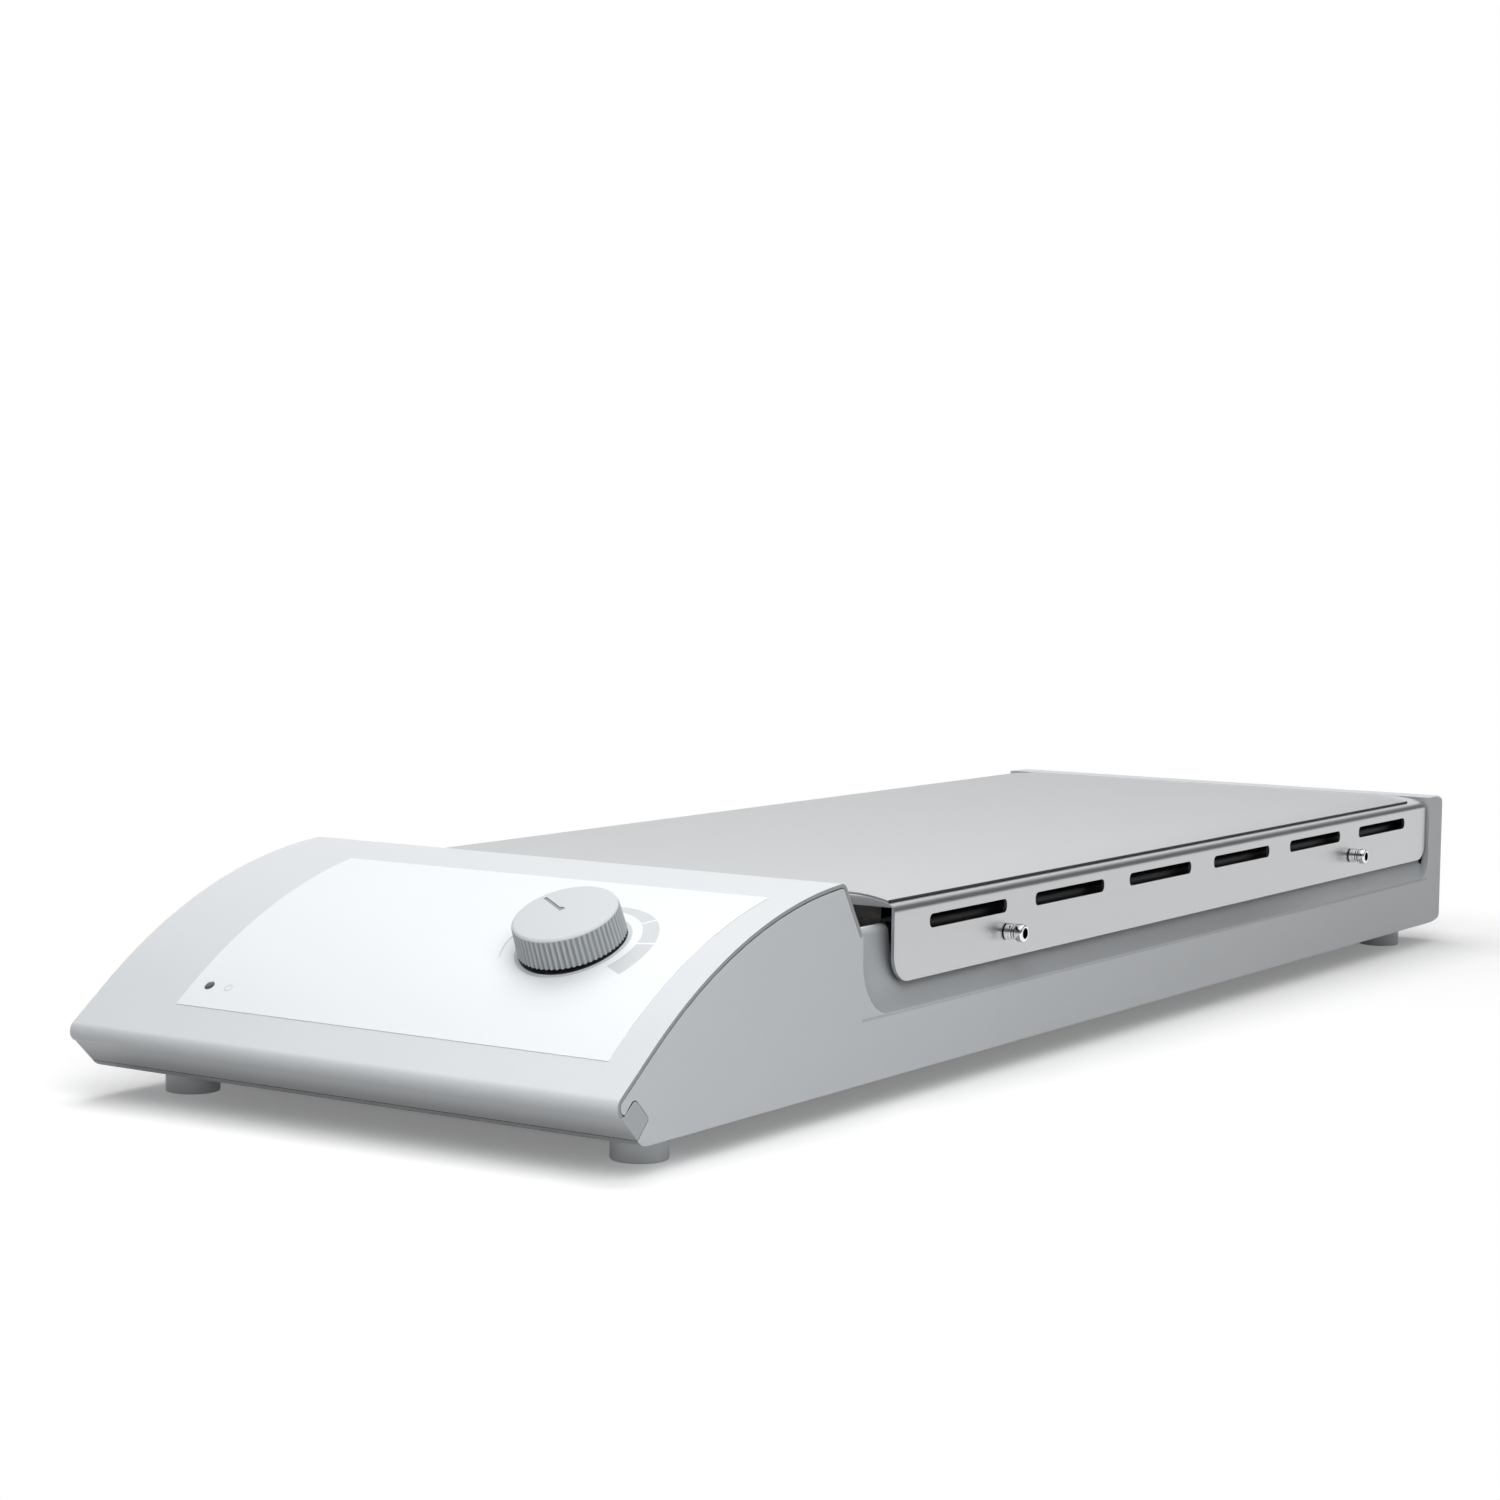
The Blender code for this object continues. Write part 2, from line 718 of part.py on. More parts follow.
def build_housing():
    """The tray: floor, side walls with their long recess, back panel and rear shelf."""
    bottom = ground_clearance
    under_cover = console_face(cover_thickness + seat_gap)
    inner_sill = ((sill_toe[0] + sill_crown[0]) / 2, (sill_toe[1] + sill_crown[1]) / 2)
    lip_radius = (sill_toe[1] - bottom) / (1 - math.cos(lower_lip_turn))
    lip_centre = (sill_toe[0] + lip_radius * math.sin(lower_lip_turn), bottom + lip_radius)
    outline = [(lip_centre[0], bottom), (overall_length - rear_corner_radius, bottom)]
    outline += arc((overall_length - rear_corner_radius, bottom + rear_corner_radius), rear_corner_radius,
                   -math.pi / 2, 0)[1:]
    outline += arc((overall_length - rear_corner_radius, rear_shelf_top - rear_corner_radius),
                   rear_corner_radius, 0, math.pi / 2)
    outline += [(deck_region_rear + seat_gap, rear_shelf_top), (deck_region_rear + seat_gap, rim_height),
                (recess_front, rim_height), (recess_front, fold_shelf), (under_cover[-1][0], fold_shelf)]
    outline += list(reversed(under_cover))
    outline.append(inner_sill)
    outline += arc(lip_centre, lip_radius, math.pi * 3 / 2 - lower_lip_turn, math.pi * 3 / 2)[:-1]
    housing = prism("base_housing", stations(outline), -half_width, half_width, "X", painted)
    soften_rear_corners(housing)

    sill_notch = prism("sill_notch", stations(grown(sill_outline, seat_gap)), -half_width - cut_overrun,
                       half_width + cut_overrun, "X")
    inside = half_width - wall
    rib_top = sill_heel[1]
    rib_rear = sill_heel[0] + front_rib_depth
    high = crest_height + cut_overrun
    cavity_outline = [(-cut_overrun, rib_top), (rib_rear, rib_top), (rib_rear, floor_top),
                      (recess_front + cut_overrun, floor_top), (recess_front + cut_overrun, high),
                      (-cut_overrun, high)]
    console_cavity = prism("console_cavity", stations(cavity_outline), -inside, inside, "X")

    levels = [floor_top, crease_height - wall] + recess_levels()[1:] + [rim_height + cut_overrun]
    right = [(min(inside, recess_face(min(height, rim_height - rim_radius)) - wall), height)
             for height in levels]
    section = right + [(-x, height) for x, height in reversed(right)]
    deck_cavity = prism("deck_cavity", section, station(recess_front), station(deck_region_rear), "Y")

    panel = overall_length - back_panel_depth
    rear_cavity = block("rear_cavity", (-inside, station(deck_region_rear - wall), floor_top),
                        (inside, station(panel - wall), rear_shelf_top - wall))
    back_recess = block("back_recess", (-back_panel_half_width, station(panel), back_panel_bottom),
                        (back_panel_half_width, station(overall_length + cut_overrun), back_panel_top))
    cut(housing, sill_notch, console_cavity, deck_cavity, rear_cavity, back_recess,
        recess_cutter(1), recess_cutter(-1))
    board_stake_top = board_bottom + board_thickness + board_stake_rise
    for x, y in board_holes():
        fuse(housing, boss("board_boss", x, y, board_bottom - seat_gap, board_boss_radius,
                           board_stake_radius, board_stake_top))
    deck_stake_top = deck_bottom + deck_thickness + deck_stake_rise
    for x, y in deck_holes():
        fuse(housing, boss("deck_boss", x, y, deck_bottom - seat_gap, deck_boss_radius,
                           deck_stake_radius, deck_stake_top))
    for spot, x, y in foot_spots():
        cut(housing, cylinder_cut("foot_hole", foot_screw_radius + seat_gap, 0, floor_top + cut_overrun,
                                  Matrix.Translation((x, y, 0)), small_round))
    for spot, side, y in stud_spots():
        cut(housing, cylinder_cut("stud_hole", stud_shank_radius + seat_gap, -plate_width / 4, 0,
                                  stud_placement(side, y), small_round))
    cut(housing, *panel_cutters())
    return housing


def soften_rear_corners(housing):
    """Round the two upright corners at the back, following the rear face's own rounded edges."""
    shape = bmesh.new()
    shape.from_mesh(housing.data)
    limit = station(overall_length - rear_corner_radius) - seat_gap
    edges = [edge for edge in shape.edges
             if all(abs(abs(v.co.x) - half_width) < seat_gap and v.co.y > limit for v in edge.verts)
             and abs(edge.verts[0].co.x - edge.verts[1].co.x) < seat_gap]
    bmesh.ops.bevel(shape, geom=edges, offset=rear_edge_bevel, segments=3, profile=round_profile_share,
                    affect="EDGES", clamp_overlap=True)
    shape.to_mesh(housing.data)
    shape.free()
    housing.data.shade_smooth()
    housing.data.set_sharp_from_angle(angle=smooth_angle)


def panel_placement(x, height):
    """Local Z points out of the back panel, local X along the panel and local Y up."""
    turn = Matrix(((-1, 0, 0), (0, 0, 1), (0, 1, 0))).to_4x4()
    return Matrix.Translation((x, station(overall_length - back_panel_depth), height)) @ turn


def inlet_outline(gap):
    """The inlet body's round-cornered section, grown by a gap."""
    return rounded_rectangle((0, 0), inlet_width + 2 * gap, inlet_tall + 2 * gap, inlet_corner_radius + gap)


def panel_cutters():
    """Openings of the back panel for the inlet, the fuse holder and the switch."""
    reach = wall + cut_overrun
    inlet = prism("inlet_cutout", inlet_outline(seat_gap), -reach, cut_overrun, "Z", None,
                  panel_placement(inlet_place_x, inlet_height))
    fuse_hole = cylinder_cut("fuse_cutout", fuse_body_radius + seat_gap, -reach, cut_overrun,
                             panel_placement(fuse_place_x, inlet_height))
    switch = block("switch_cutout", (-switch_width / 2 - seat_gap, -switch_tall / 2 - seat_gap, -reach),
                   (switch_width / 2 + seat_gap, switch_tall / 2 + seat_gap, cut_overrun), None,
                   panel_placement(switch_place_x, inlet_height))
    return inlet, fuse_hole, switch


def build_sill():
    """The bar that closes the front under the nose."""
    return prism("front_sill", stations(sill_outline), -half_width, half_width, "X", painted)


def build_cover():
    """The bent sheet that covers the console, with holes for the knob's bush and the lamp."""
    band = console_face(0) + list(reversed(console_face(cover_thickness)))
    cover = prism("console_cover", stations(band), -half_width, half_width, "X", cover_paint)
    cut(cover,
        cylinder_cut("bush_hole", dial_bush_radius + seat_gap, -cover_thickness - cut_overrun, cut_overrun,
                     console_placement(knob_place_x, knob_run)),
        cylinder_cut("lamp_hole", lamp_radius + seat_gap, -cover_thickness - cut_overrun, cut_overrun,
                     console_placement(lamp_place_x, lamp_run), small_round))
    return cover


def build_overlay():
    """The membrane that lies on the cover, flat in one direction and bent with the cover."""
    end = overlay_start_run + overlay_length
    bend = arc(bend_centre, console_bend_radius, 0, (end - straight_run) / console_bend_radius)
    steps = len(bend) - 1
    runs = [overlay_start_run] + [straight_run + (end - straight_run) * index / steps
                                  for index in range(steps + 1)]
    upper = [console_spot(run, seat_gap + overlay_thickness)[:2] for run in runs]
    lower = [console_spot(run, seat_gap)[:2] for run in runs]
    band = stations(upper + lower[::-1])
    overlay = prism("console_overlay", band, overlay_left, overlay_right, "X", membrane)
    cut(overlay,
        cylinder_cut("nut_hole", dial_nut_radius * hexagon_factor(math.pi / 6) + seat_gap, 0, cut_overrun,
                     console_placement(knob_place_x, knob_run)),
        cylinder_cut("lamp_window", lamp_radius + seat_gap, 0, cut_overrun,
                     console_placement(lamp_place_x, lamp_run), small_round))
    return overlay


def plate_section(inset, rise=0.0, with_flanges=True):
    """The right half of the plate's cross-section as (x, height), from the middle to the flange."""
    half = plate_width / 2
    bend_x = half - plate_bend_radius
    crown_x = bend_x + plate_bend_radius * math.sin(plate_crown_angle) \
        - plate_crown_radius * math.sin(plate_crown_angle)
    crown = arc((crown_x, plate_top - plate_crown_radius), plate_crown_radius - inset + rise,
                math.pi / 2, math.pi / 2 - plate_crown_angle)
    if not with_flanges:
        return crown
    crown_end = plate_top - plate_crown_radius + plate_crown_radius * math.cos(plate_crown_angle)
    bend_height = crown_end - plate_bend_radius * math.cos(plate_crown_angle)
    bend = arc((bend_x, bend_height), plate_bend_radius - inset, math.pi / 2 - plate_crown_angle, 0)
    return crown + bend[1:]


def mirrored(points):
    """Points from the right half to the left half, going down and up again."""
    return [(-x, height) for x, height in reversed(points)]


def plate_side(inset, low):
    """The plate seen from the side, with its front and rear edges rounded into their lips."""
    front = station(plate_front + inset)
    rear = station(plate_rear - inset)
    top = plate_top - inset
    nose = max(plate_front_radius - inset, seat_gap)
    heel = plate_rear_radius - inset
    outline = [(front, low), (rear, low)]
    outline += arc((rear - heel, top - heel), heel, 0, math.pi / 2)
    outline += arc((front + nose, top - nose), nose, math.pi / 2, math.pi)
    return outline


def build_work_plate():
    """An upside-down tray: crowned top, short lips front and rear, and a slotted flange each side."""
    half = plate_width / 2
    low = plate_flange_bottom
    outer = plate_section(0)
    plate = prism("work_plate", outer + [(half, low), (-half, low)] + mirrored(outer), station(plate_front),
                  station(plate_rear), "Y", stainless)
    outer_side = prism("plate_outer_side", plate_side(0, low - cut_overrun), -half - cut_overrun,
                       half + cut_overrun, "X")
    combine(plate, outer_side, "INTERSECT")
    inner = plate_section(plate_thickness)
    inner_half = half - plate_thickness
    below = low - cut_overrun
    hollow = prism("plate_hollow", inner + [(inner_half, below), (-inner_half, below)] + mirrored(inner),
                   station(plate_front) + plate_thickness, station(plate_rear) - plate_thickness, "Y")
    inner_side = prism("plate_inner_side", plate_side(plate_thickness, low - 2 * cut_overrun),
                       -half - cut_overrun, half + cut_overrun, "X")
    combine(hollow, inner_side, "INTERSECT")
    cut(plate, hollow)
    lip_low = plate_top - plate_lip_height
    trims = {"front_lip_trim": (plate_front - cut_overrun, plate_front + 2 * plate_thickness),
             "rear_lip_trim": (plate_rear - 2 * plate_thickness, plate_rear + cut_overrun)}
    for name, (start, end) in trims.items():
        cut(plate, block(name, (-inner_half, station(start), below), (inner_half, station(end), lip_low)))
    radius = plate_corner_radius
    for name, end, way in (("front_corner_trim", plate_front, 1), ("rear_corner_trim", plate_rear, -1)):
        centre = (station(end + way * radius), low + radius)
        corner = arc(centre, radius, -math.pi / 2, -math.pi / 2 - way * math.pi / 2)
        outside = station(end - way * cut_overrun)
        outline = corner + [(outside, low + radius), (outside, below), (centre[0], below)]
        cut(plate, prism(name, outline, -half - cut_overrun, half + cut_overrun, "X"))
    for index in range(slot_count):
        middle = plate_front + slot_front_margin + slot_length / 2 + index * slot_pitch
        cut(plate, prism("flange_slot", rounded_rectangle((station(middle), slot_centre_height), slot_length,
                                                          slot_height, slot_corner_radius),
                         -half - cut_overrun, half + cut_overrun, "X"))
    for spot, side, y in stud_spots():
        cut(plate, cylinder_cut("flange_hole", stud_neck_radius + seat_gap, -2 * plate_thickness,
                                plate_thickness, stud_placement(side, y), small_round))
    return plate


def build_film():
    """The silicone film that lies on the crowned top of the plate."""
    low = plate_section(0, seat_gap, False)
    high = plate_section(0, seat_gap + film_thickness, False)
    outline = high + low[::-1] + [(-x, height) for x, height in low] + mirrored(high)
    return prism("silicone_film", outline, station(plate_front + film_front_margin),
                 station(plate_rear - film_rear_margin), "Y", silicone)


def build_studs():
    """Turned studs with a bush outside the flange, two ring grooves and a socket head."""
    neck_end = seat_gap
    bush_end = neck_end + stud_bush_length
    first_groove = bush_end + stud_groove_length
    ring = first_groove + stud_ring_length
    second_groove = ring + stud_groove_length
    head_end = second_groove + stud_head_length
    collar_top = -plate_thickness - seat_gap
    collar_low = collar_top - stud_collar_length
    profile = [(0, collar_low - stud_shank_length), (stud_shank_radius, collar_low - stud_shank_length),
               (stud_shank_radius, collar_low), (stud_collar_radius, collar_low),
               (stud_collar_radius, collar_top), (stud_neck_radius, collar_top),
               (stud_neck_radius, neck_end), (stud_bush_radius, neck_end), (stud_bush_radius, bush_end),
               (stud_groove_radius, bush_end), (stud_groove_radius, first_groove),
               (stud_bush_radius, first_groove), (stud_bush_radius, ring), (stud_groove_radius, ring),
               (stud_groove_radius, second_groove), (stud_head_radius, second_groove),
               (stud_head_radius, head_end - stud_head_chamfer),
               (stud_head_radius - stud_head_chamfer, head_end), (stud_socket_radius, head_end),
               (stud_socket_radius, head_end - stud_socket_depth), (0, head_end - stud_socket_depth)]
    socket_rows = (len(profile) - 3, len(profile) - 2)
    for spot, side, y in stud_spots():
        turned(f"plate_stud_{spot}", profile, small_round, chrome, stud_placement(side, y), socket_rows)


def build_feet():
    """Round feet with a recess underneath, each held by a screw through the housing floor."""
    top = ground_clearance - seat_gap
    hole = foot_screw_radius + seat_gap
    edge = foot_edge_radius
    foot = [(hole, foot_recess_depth), (foot_recess_radius, foot_recess_depth), (foot_recess_radius, 0),
            (foot_radius - edge, 0), (foot_radius, edge), (foot_radius, top), (hole, top)]
    head_top = foot_recess_depth - seat_gap
    head_low = head_top - foot_screw_head_height
    tip = floor_top + foot_screw_reach
    screw = [(0, head_low), (foot_screw_head_radius, head_low), (foot_screw_head_radius, head_top),
             (foot_screw_radius, head_top), (foot_screw_radius, tip), (0, tip)]
    for spot, x, y in foot_spots():
        placement = Matrix.Translation((x, y, 0))
        turned(f"foot_{spot}", foot, medium_round, rubber, placement)
        piece = turned(f"foot_screw_{spot}", screw, small_round, zinc, placement)
        for turn in (0, math.pi / 2):
            arm = foot_screw_head_radius - foot_screw_slot_width
            cross = block("screw_cross", (-arm, -foot_screw_slot_width / 2, head_low - cut_overrun),
                          (arm, foot_screw_slot_width / 2, head_low + foot_screw_slot_depth), None,
                          placement @ Matrix.Rotation(turn, 4, "Z"))
            cut(piece, cross)


def build_knob():
    """A fluted knob with a flat face and a pointer groove, hollow underneath for the nut."""
    placement = console_placement(knob_place_x, knob_run)
    segments = 2 * knob_flute_count
    top_radius = knob_radius - knob_taper
    flat_radius = top_radius - knob_edge_radius
    rows = [(knob_radius, knob_base_height, knob_flute_depth),
            (top_radius, knob_height - knob_edge_radius, knob_flute_depth),
            (top_radius - knob_flute_depth, knob_height - knob_edge_radius * knob_edge_share, 0),
            (flat_radius, knob_height, 0)]
    shape = bmesh.new()
    rings = []
    for radius, height, flute in rows:
        ring = []
        for index in range(segments):
            angle = math.tau * index / segments
            reach = radius - flute * (index % 2)
            ring.append(shape.verts.new((reach * math.cos(angle), reach * math.sin(angle), height)))
        rings.append(ring)
    shape.faces.new(rings[0])
    shape.faces.new(rings[-1])
    for lower, upper in zip(rings, rings[1:]):
        for index in range(segments):
            after = (index + 1) % segments
            shape.faces.new((lower[index], lower[after], upper[after], upper[index]))
    knob = place_mesh("speed_knob", shape, grey_plastic, placement)
    ceiling = knob_base_height + knob_cavity_depth
    bore = shaft_radius + seat_gap
    hollow = turned("knob_hollow", [(0, knob_base_height - cut_overrun),
                                    (knob_cavity_radius, knob_base_height - cut_overrun),
                                    (knob_cavity_radius, ceiling), (bore, ceiling),
                                    (bore, ceiling + knob_bore_depth), (0, ceiling + knob_bore_depth)],
                    medium_round, None, placement)
    pointer = block("pointer_groove",
                    (knob_pointer_inner, -knob_pointer_width / 2, knob_height - knob_pointer_depth),
                    (knob_pointer_outer, knob_pointer_width / 2, knob_height + cut_overrun), None,
                    placement @ Matrix.Rotation(knob_pointer_angle, 4, "Z"))
    cut(knob, hollow, pointer)
    shaft_top = ceiling + knob_bore_depth - seat_gap
    shaft_low = -shaft_insertion
    shaft = [(0, shaft_low), (shaft_radius, shaft_low), (shaft_radius, shaft_top), (0, shaft_top)]
    turned("knob_shaft", shaft, small_round, zinc, placement)


def build_dial():
    """The potentiometer under the cover: a round body with a threaded bush, held by a nut."""
    placement = console_placement(knob_place_x, knob_run)
    hole = shaft_radius + seat_gap
    body_top = -cover_thickness - dial_face_gap
    body_low = body_top - dial_body_depth
    bore_end = -shaft_insertion - seat_gap
    profile = [(0, bore_end), (hole, bore_end), (hole, dial_bush_rise), (dial_bush_radius, dial_bush_rise),
               (dial_bush_radius, body_top), (dial_body_radius, body_top), (dial_body_radius, body_low),
               (0, body_low)]
    turned("dial_potentiometer", profile, medium_round, zinc, placement)
    nut_low = seat_gap
    nut_top = nut_low + dial_nut_height
    nut_hole = dial_bush_radius + seat_gap
    nut = [(nut_hole, nut_low), (dial_nut_radius, nut_low), (dial_nut_radius, nut_top), (nut_hole, nut_top)]
    turned("dial_nut", nut, medium_round, zinc, placement, (1, 2))


def build_lamp():
    """A light pipe that stands on the board and shows through the overlay."""
    top = overlay_thickness + seat_gap + lamp_rise
    place, height, slope = console_spot(lamp_run, top)
    board_top = board_bottom + board_thickness + seat_gap
    low = top - (height - board_top) / math.cos(slope) + lamp_radius * math.tan(slope)
    shoulder_top = -cover_thickness - seat_gap
    shoulder_low = shoulder_top - lamp_shoulder_length
    profile = [(0, low), (lamp_radius, low), (lamp_radius, shoulder_low),
               (lamp_shoulder_radius, shoulder_low), (lamp_shoulder_radius, shoulder_top),
               (lamp_radius, shoulder_top), (lamp_radius, top - lamp_rise), (lamp_radius / 2, top), (0, top)]
    turned("power_lamp", profile, small_round, lamp_plastic, console_placement(lamp_place_x, lamp_run))


def build_board():
    """The control board, staked on four bosses."""
    top = board_bottom + board_thickness
    board = block("control_board", (-board_half_width, station(board_front_place), board_bottom),
                  (board_half_width, station(board_rear_place), top), board_green)
    for x, y in board_holes():
        cut(board, cylinder_cut("board_hole", board_stake_radius + seat_gap, board_bottom - cut_overrun,
                                top + cut_overrun, Matrix.Translation((x, y, 0)), small_round))


def rotor_spots():
    """Number, X, Y and belt side of each rotor: up the right row, then back down the left row."""
    spots = []
    for row in range(row_count):
        side = 1 - 2 * row
        order = range(rotors_per_row) if row == 0 else range(rotors_per_row - 1, -1, -1)
        for index in order:
            y = station(first_rotor_place + index * rotor_pitch)
            outside = index % 2 == 0
            spots.append((len(spots) + 1, side * row_spacing / 2, y, 1 if outside else -1))
    return spots


def build_deck():
    """The sheet that carries the rotors, with an axle riveted in at each position."""
    top = deck_bottom + deck_thickness
    deck = block("rotor_deck", (-deck_half_width, station(deck_front_place), deck_bottom),
                 (deck_half_width, station(deck_rear_place), top), zinc)
    foot_top = belt_height - rotor_rim_height / 2 - seat_gap
    axle_top = belt_height + rotor_rim_height / 2 - rotor_roof - seat_gap
    profile = [(0, deck_bottom + deck_thickness / 2), (axle_foot_radius, deck_bottom + deck_thickness / 2),
               (axle_foot_radius, foot_top), (axle_radius, foot_top), (axle_radius, axle_top), (0, axle_top)]
    for number, x, y, way in rotor_spots():
        fuse(deck, turned("rotor_axle", profile, small_round, None, Matrix.Translation((x, y, 0))))
    for x, y in deck_holes():
        cut(deck, cylinder_cut("deck_hole", deck_stake_radius + seat_gap, deck_bottom - cut_overrun,
                               top + cut_overrun, Matrix.Translation((x, y, 0)), small_round))


def build_rotors():
    """Ten grooved pulleys on their axles, each with its bar magnet."""
    low = belt_height - rotor_rim_height / 2
    top = belt_height + rotor_rim_height / 2
    groove_low = belt_height - belt_radius - seat_gap
    groove_top = belt_height + belt_radius + seat_gap
    seat = belt_seat_radius - seat_gap
    bore = axle_radius + seat_gap
    roof = top - rotor_roof
    profile = [(0, roof), (bore, roof), (bore, low), (rotor_radius, low), (rotor_radius, groove_low),
               (seat, groove_low), (seat, groove_top), (rotor_radius, groove_top), (rotor_radius, top),
               (0, top)]
    bed = magnet_bottom - seat_gap
    half_length = magnet_length / 2
    half_width = magnet_width / 2
    for number, x, y, way in rotor_spots():
        spot = Matrix.Translation((x, y, 0))
        pulley = turned(f"rotor_pulley_{number:02d}", profile, rotor_round, white_plastic, spot)
        cut(pulley, block("magnet_bed", (-half_length - seat_gap, -half_width - seat_gap, bed),
                          (half_length + seat_gap, half_width + seat_gap, top + cut_overrun), None, spot))
        block(f"rotor_magnet_{number:02d}", (-half_length, -half_width, magnet_bottom),
              (half_length, half_width, magnet_bottom + magnet_height), magnet_nickel, spot)


def belt_route():
    """The belt's centre line seen from above: round the drive pulley and woven through both rows."""
    stops = [(0.0, station(motor_place), drive_seat_radius + belt_radius, 1)]
    stops += [(x, y, belt_seat_radius + belt_radius, way) for number, x, y, way in rotor_spots()]
    count = len(stops)
    runs = []
    for index in range(count):
        x0, y0, r0, way0 = stops[index]
        x1, y1, r1, way1 = stops[(index + 1) % count]
        gap = math.hypot(x1 - x0, y1 - y0)
        heading = math.atan2(y1 - y0, x1 - x0)
        lean = math.asin((way0 * r0 - way1 * r1) / gap)
        normal = heading + lean - math.pi / 2
        runs.append(normal)
    points = []
    for index in range(count):
        x, y, radius, way = stops[index]
        arrive = runs[index - 1] + (0 if way > 0 else math.pi)
        leave = runs[index] + (0 if way > 0 else math.pi)
        sweep = (leave - arrive) % math.tau if way > 0 else -((arrive - leave) % math.tau)
        if abs(sweep) > math.tau * nearly_whole_share:
            sweep -= math.copysign(math.tau, sweep)
        steps = max(2, math.ceil(abs(sweep) / belt_arc_step))
        for step in range(steps + 1):
            angle = arrive + sweep * step / steps
            points.append((x + radius * math.cos(angle), y + radius * math.sin(angle)))
    return points


def build_belt():
    """One endless round belt, swept along its route."""
    route = [Vector(point) for point in belt_route()]
    shape = bmesh.new()
    rings = []
    count = len(route)
    for index, here in enumerate(route):
        before = (here - route[index - 1]).normalized()
        after = (route[(index + 1) % count] - here).normalized()
        across = Vector((before.y + after.y, -before.x - after.x)).normalized()
        ring = []
        for step in range(belt_sides):
            angle = math.tau * (step + 0.5) / belt_sides
            spot = here + across * (belt_radius * math.cos(angle))
            ring.append(shape.verts.new((spot.x, spot.y, belt_height + belt_radius * math.sin(angle))))
        rings.append(ring)
    for index in range(count):
        first, second = rings[index], rings[(index + 1) % count]
        for step in range(belt_sides):
            after = (step + 1) % belt_sides
            shape.faces.new((first[step], first[after], second[after], second[step]))
    place_mesh("drive_belt", shape, belt_rubber)


def build_motor():
    """A C-shaped lamination stack with a coil on its back leg, two bearing brackets and a rotor."""
    spot = Matrix.Translation((0, station(motor_place), 0))
    top = stack_bottom + stack_height
    depth = stack_half_depth
    back = -stack_back_reach
    window = back + stack_leg_width
    inner = depth - stack_arm_width
    stack_outline = [(back, -depth), (pole_half_width, -depth), (pole_half_width, depth), (back, depth)]
    stack = prism("motor_stack", stack_outline, stack_bottom, top, "Z", lamination, spot)
    cut(stack,
        block("coil_window", (window, -inner, stack_bottom - cut_overrun),
              (-pole_half_width, inner, top + cut_overrun), None, spot),
        cylinder_cut("rotor_bore", motor_rotor_radius + motor_air_gap, stack_bottom - cut_overrun,
                     top + cut_overrun, spot))
    around = seat_gap + coil_wall
    coil_low = (back - around, -inner + coil_end_clearance, stack_bottom - around)
    coil_high = (window + around, inner - coil_end_clearance, top + around)
    coil = block("motor_coil", coil_low, coil_high, coil_tape, spot)
    cut(coil, block("leg_hole", (back - seat_gap, -depth, stack_bottom - seat_gap),
                    (window + seat_gap, depth, top + seat_gap), None, spot))
    half = bracket_half_width
    reach = depth + bracket_overhang
    leg_low = floor_top + seat_gap
    shaft_hole = motor_shaft_radius + seat_gap
    lower_top = stack_bottom - seat_gap
    lower_low = lower_top - bracket_thickness
    lower = block("motor_bracket_lower", (-half, -reach, lower_low), (half, reach, lower_top), zinc, spot)
    for way in (-1, 1):
        y = sorted((way * reach, way * (reach - bracket_thickness)))
        fuse(lower, block("bracket_leg", (-half, y[0], leg_low),
                          (half, y[1], lower_low + bracket_thickness / 2), None, spot))
    fuse(lower, cylinder_cut("lower_bearing", bearing_radius, lower_low - bearing_depth,
                             lower_low + bracket_thickness / 2, spot, small_round))
    cut(lower, cylinder_cut("lower_shaft_hole", shaft_hole, lower_low - bearing_depth - cut_overrun,
                            lower_top + cut_overrun, spot, small_round))
    upper_low = top + seat_gap
    upper_top = upper_low + bracket_thickness
    upper = block("motor_bracket_upper", (-half, -depth, upper_low), (half, depth, upper_top), zinc, spot)
    fuse(upper, cylinder_cut("upper_bearing", bearing_radius, upper_low + bracket_thickness / 2,
                             belt_height - rotor_rim_height / 2 - seat_gap, spot, small_round))
    cut(upper, cylinder_cut("upper_shaft_hole", shaft_hole, upper_low - cut_overrun, belt_height, spot,
                            small_round))
    core_low = stack_bottom + 2 * seat_gap
    core_top = top - 2 * seat_gap
    tail = lower_low - bearing_depth - motor_shaft_tail
    shaft_top = belt_height + rotor_rim_height / 2
    turned("motor_rotor", [(0, tail), (motor_shaft_radius, tail), (motor_shaft_radius, core_low),
                           (motor_rotor_radius, core_low), (motor_rotor_radius, core_top),
                           (motor_shaft_radius, core_top), (motor_shaft_radius, shaft_top), (0, shaft_top)],
           medium_round, lamination, spot)
    pulley_low = belt_height - rotor_rim_height / 2
    pulley_top = belt_height + rotor_rim_height / 2
    groove = belt_radius + seat_gap
    seat = drive_seat_radius - seat_gap
    flange = drive_flange_radius
    turned("drive_pulley", [(shaft_hole, pulley_low), (flange, pulley_low), (flange, belt_height - groove),
                            (seat, belt_height - groove), (seat, belt_height + groove),
                            (flange, belt_height + groove), (flange, pulley_top), (shaft_hole, pulley_top)],
           medium_round, white_plastic, spot)


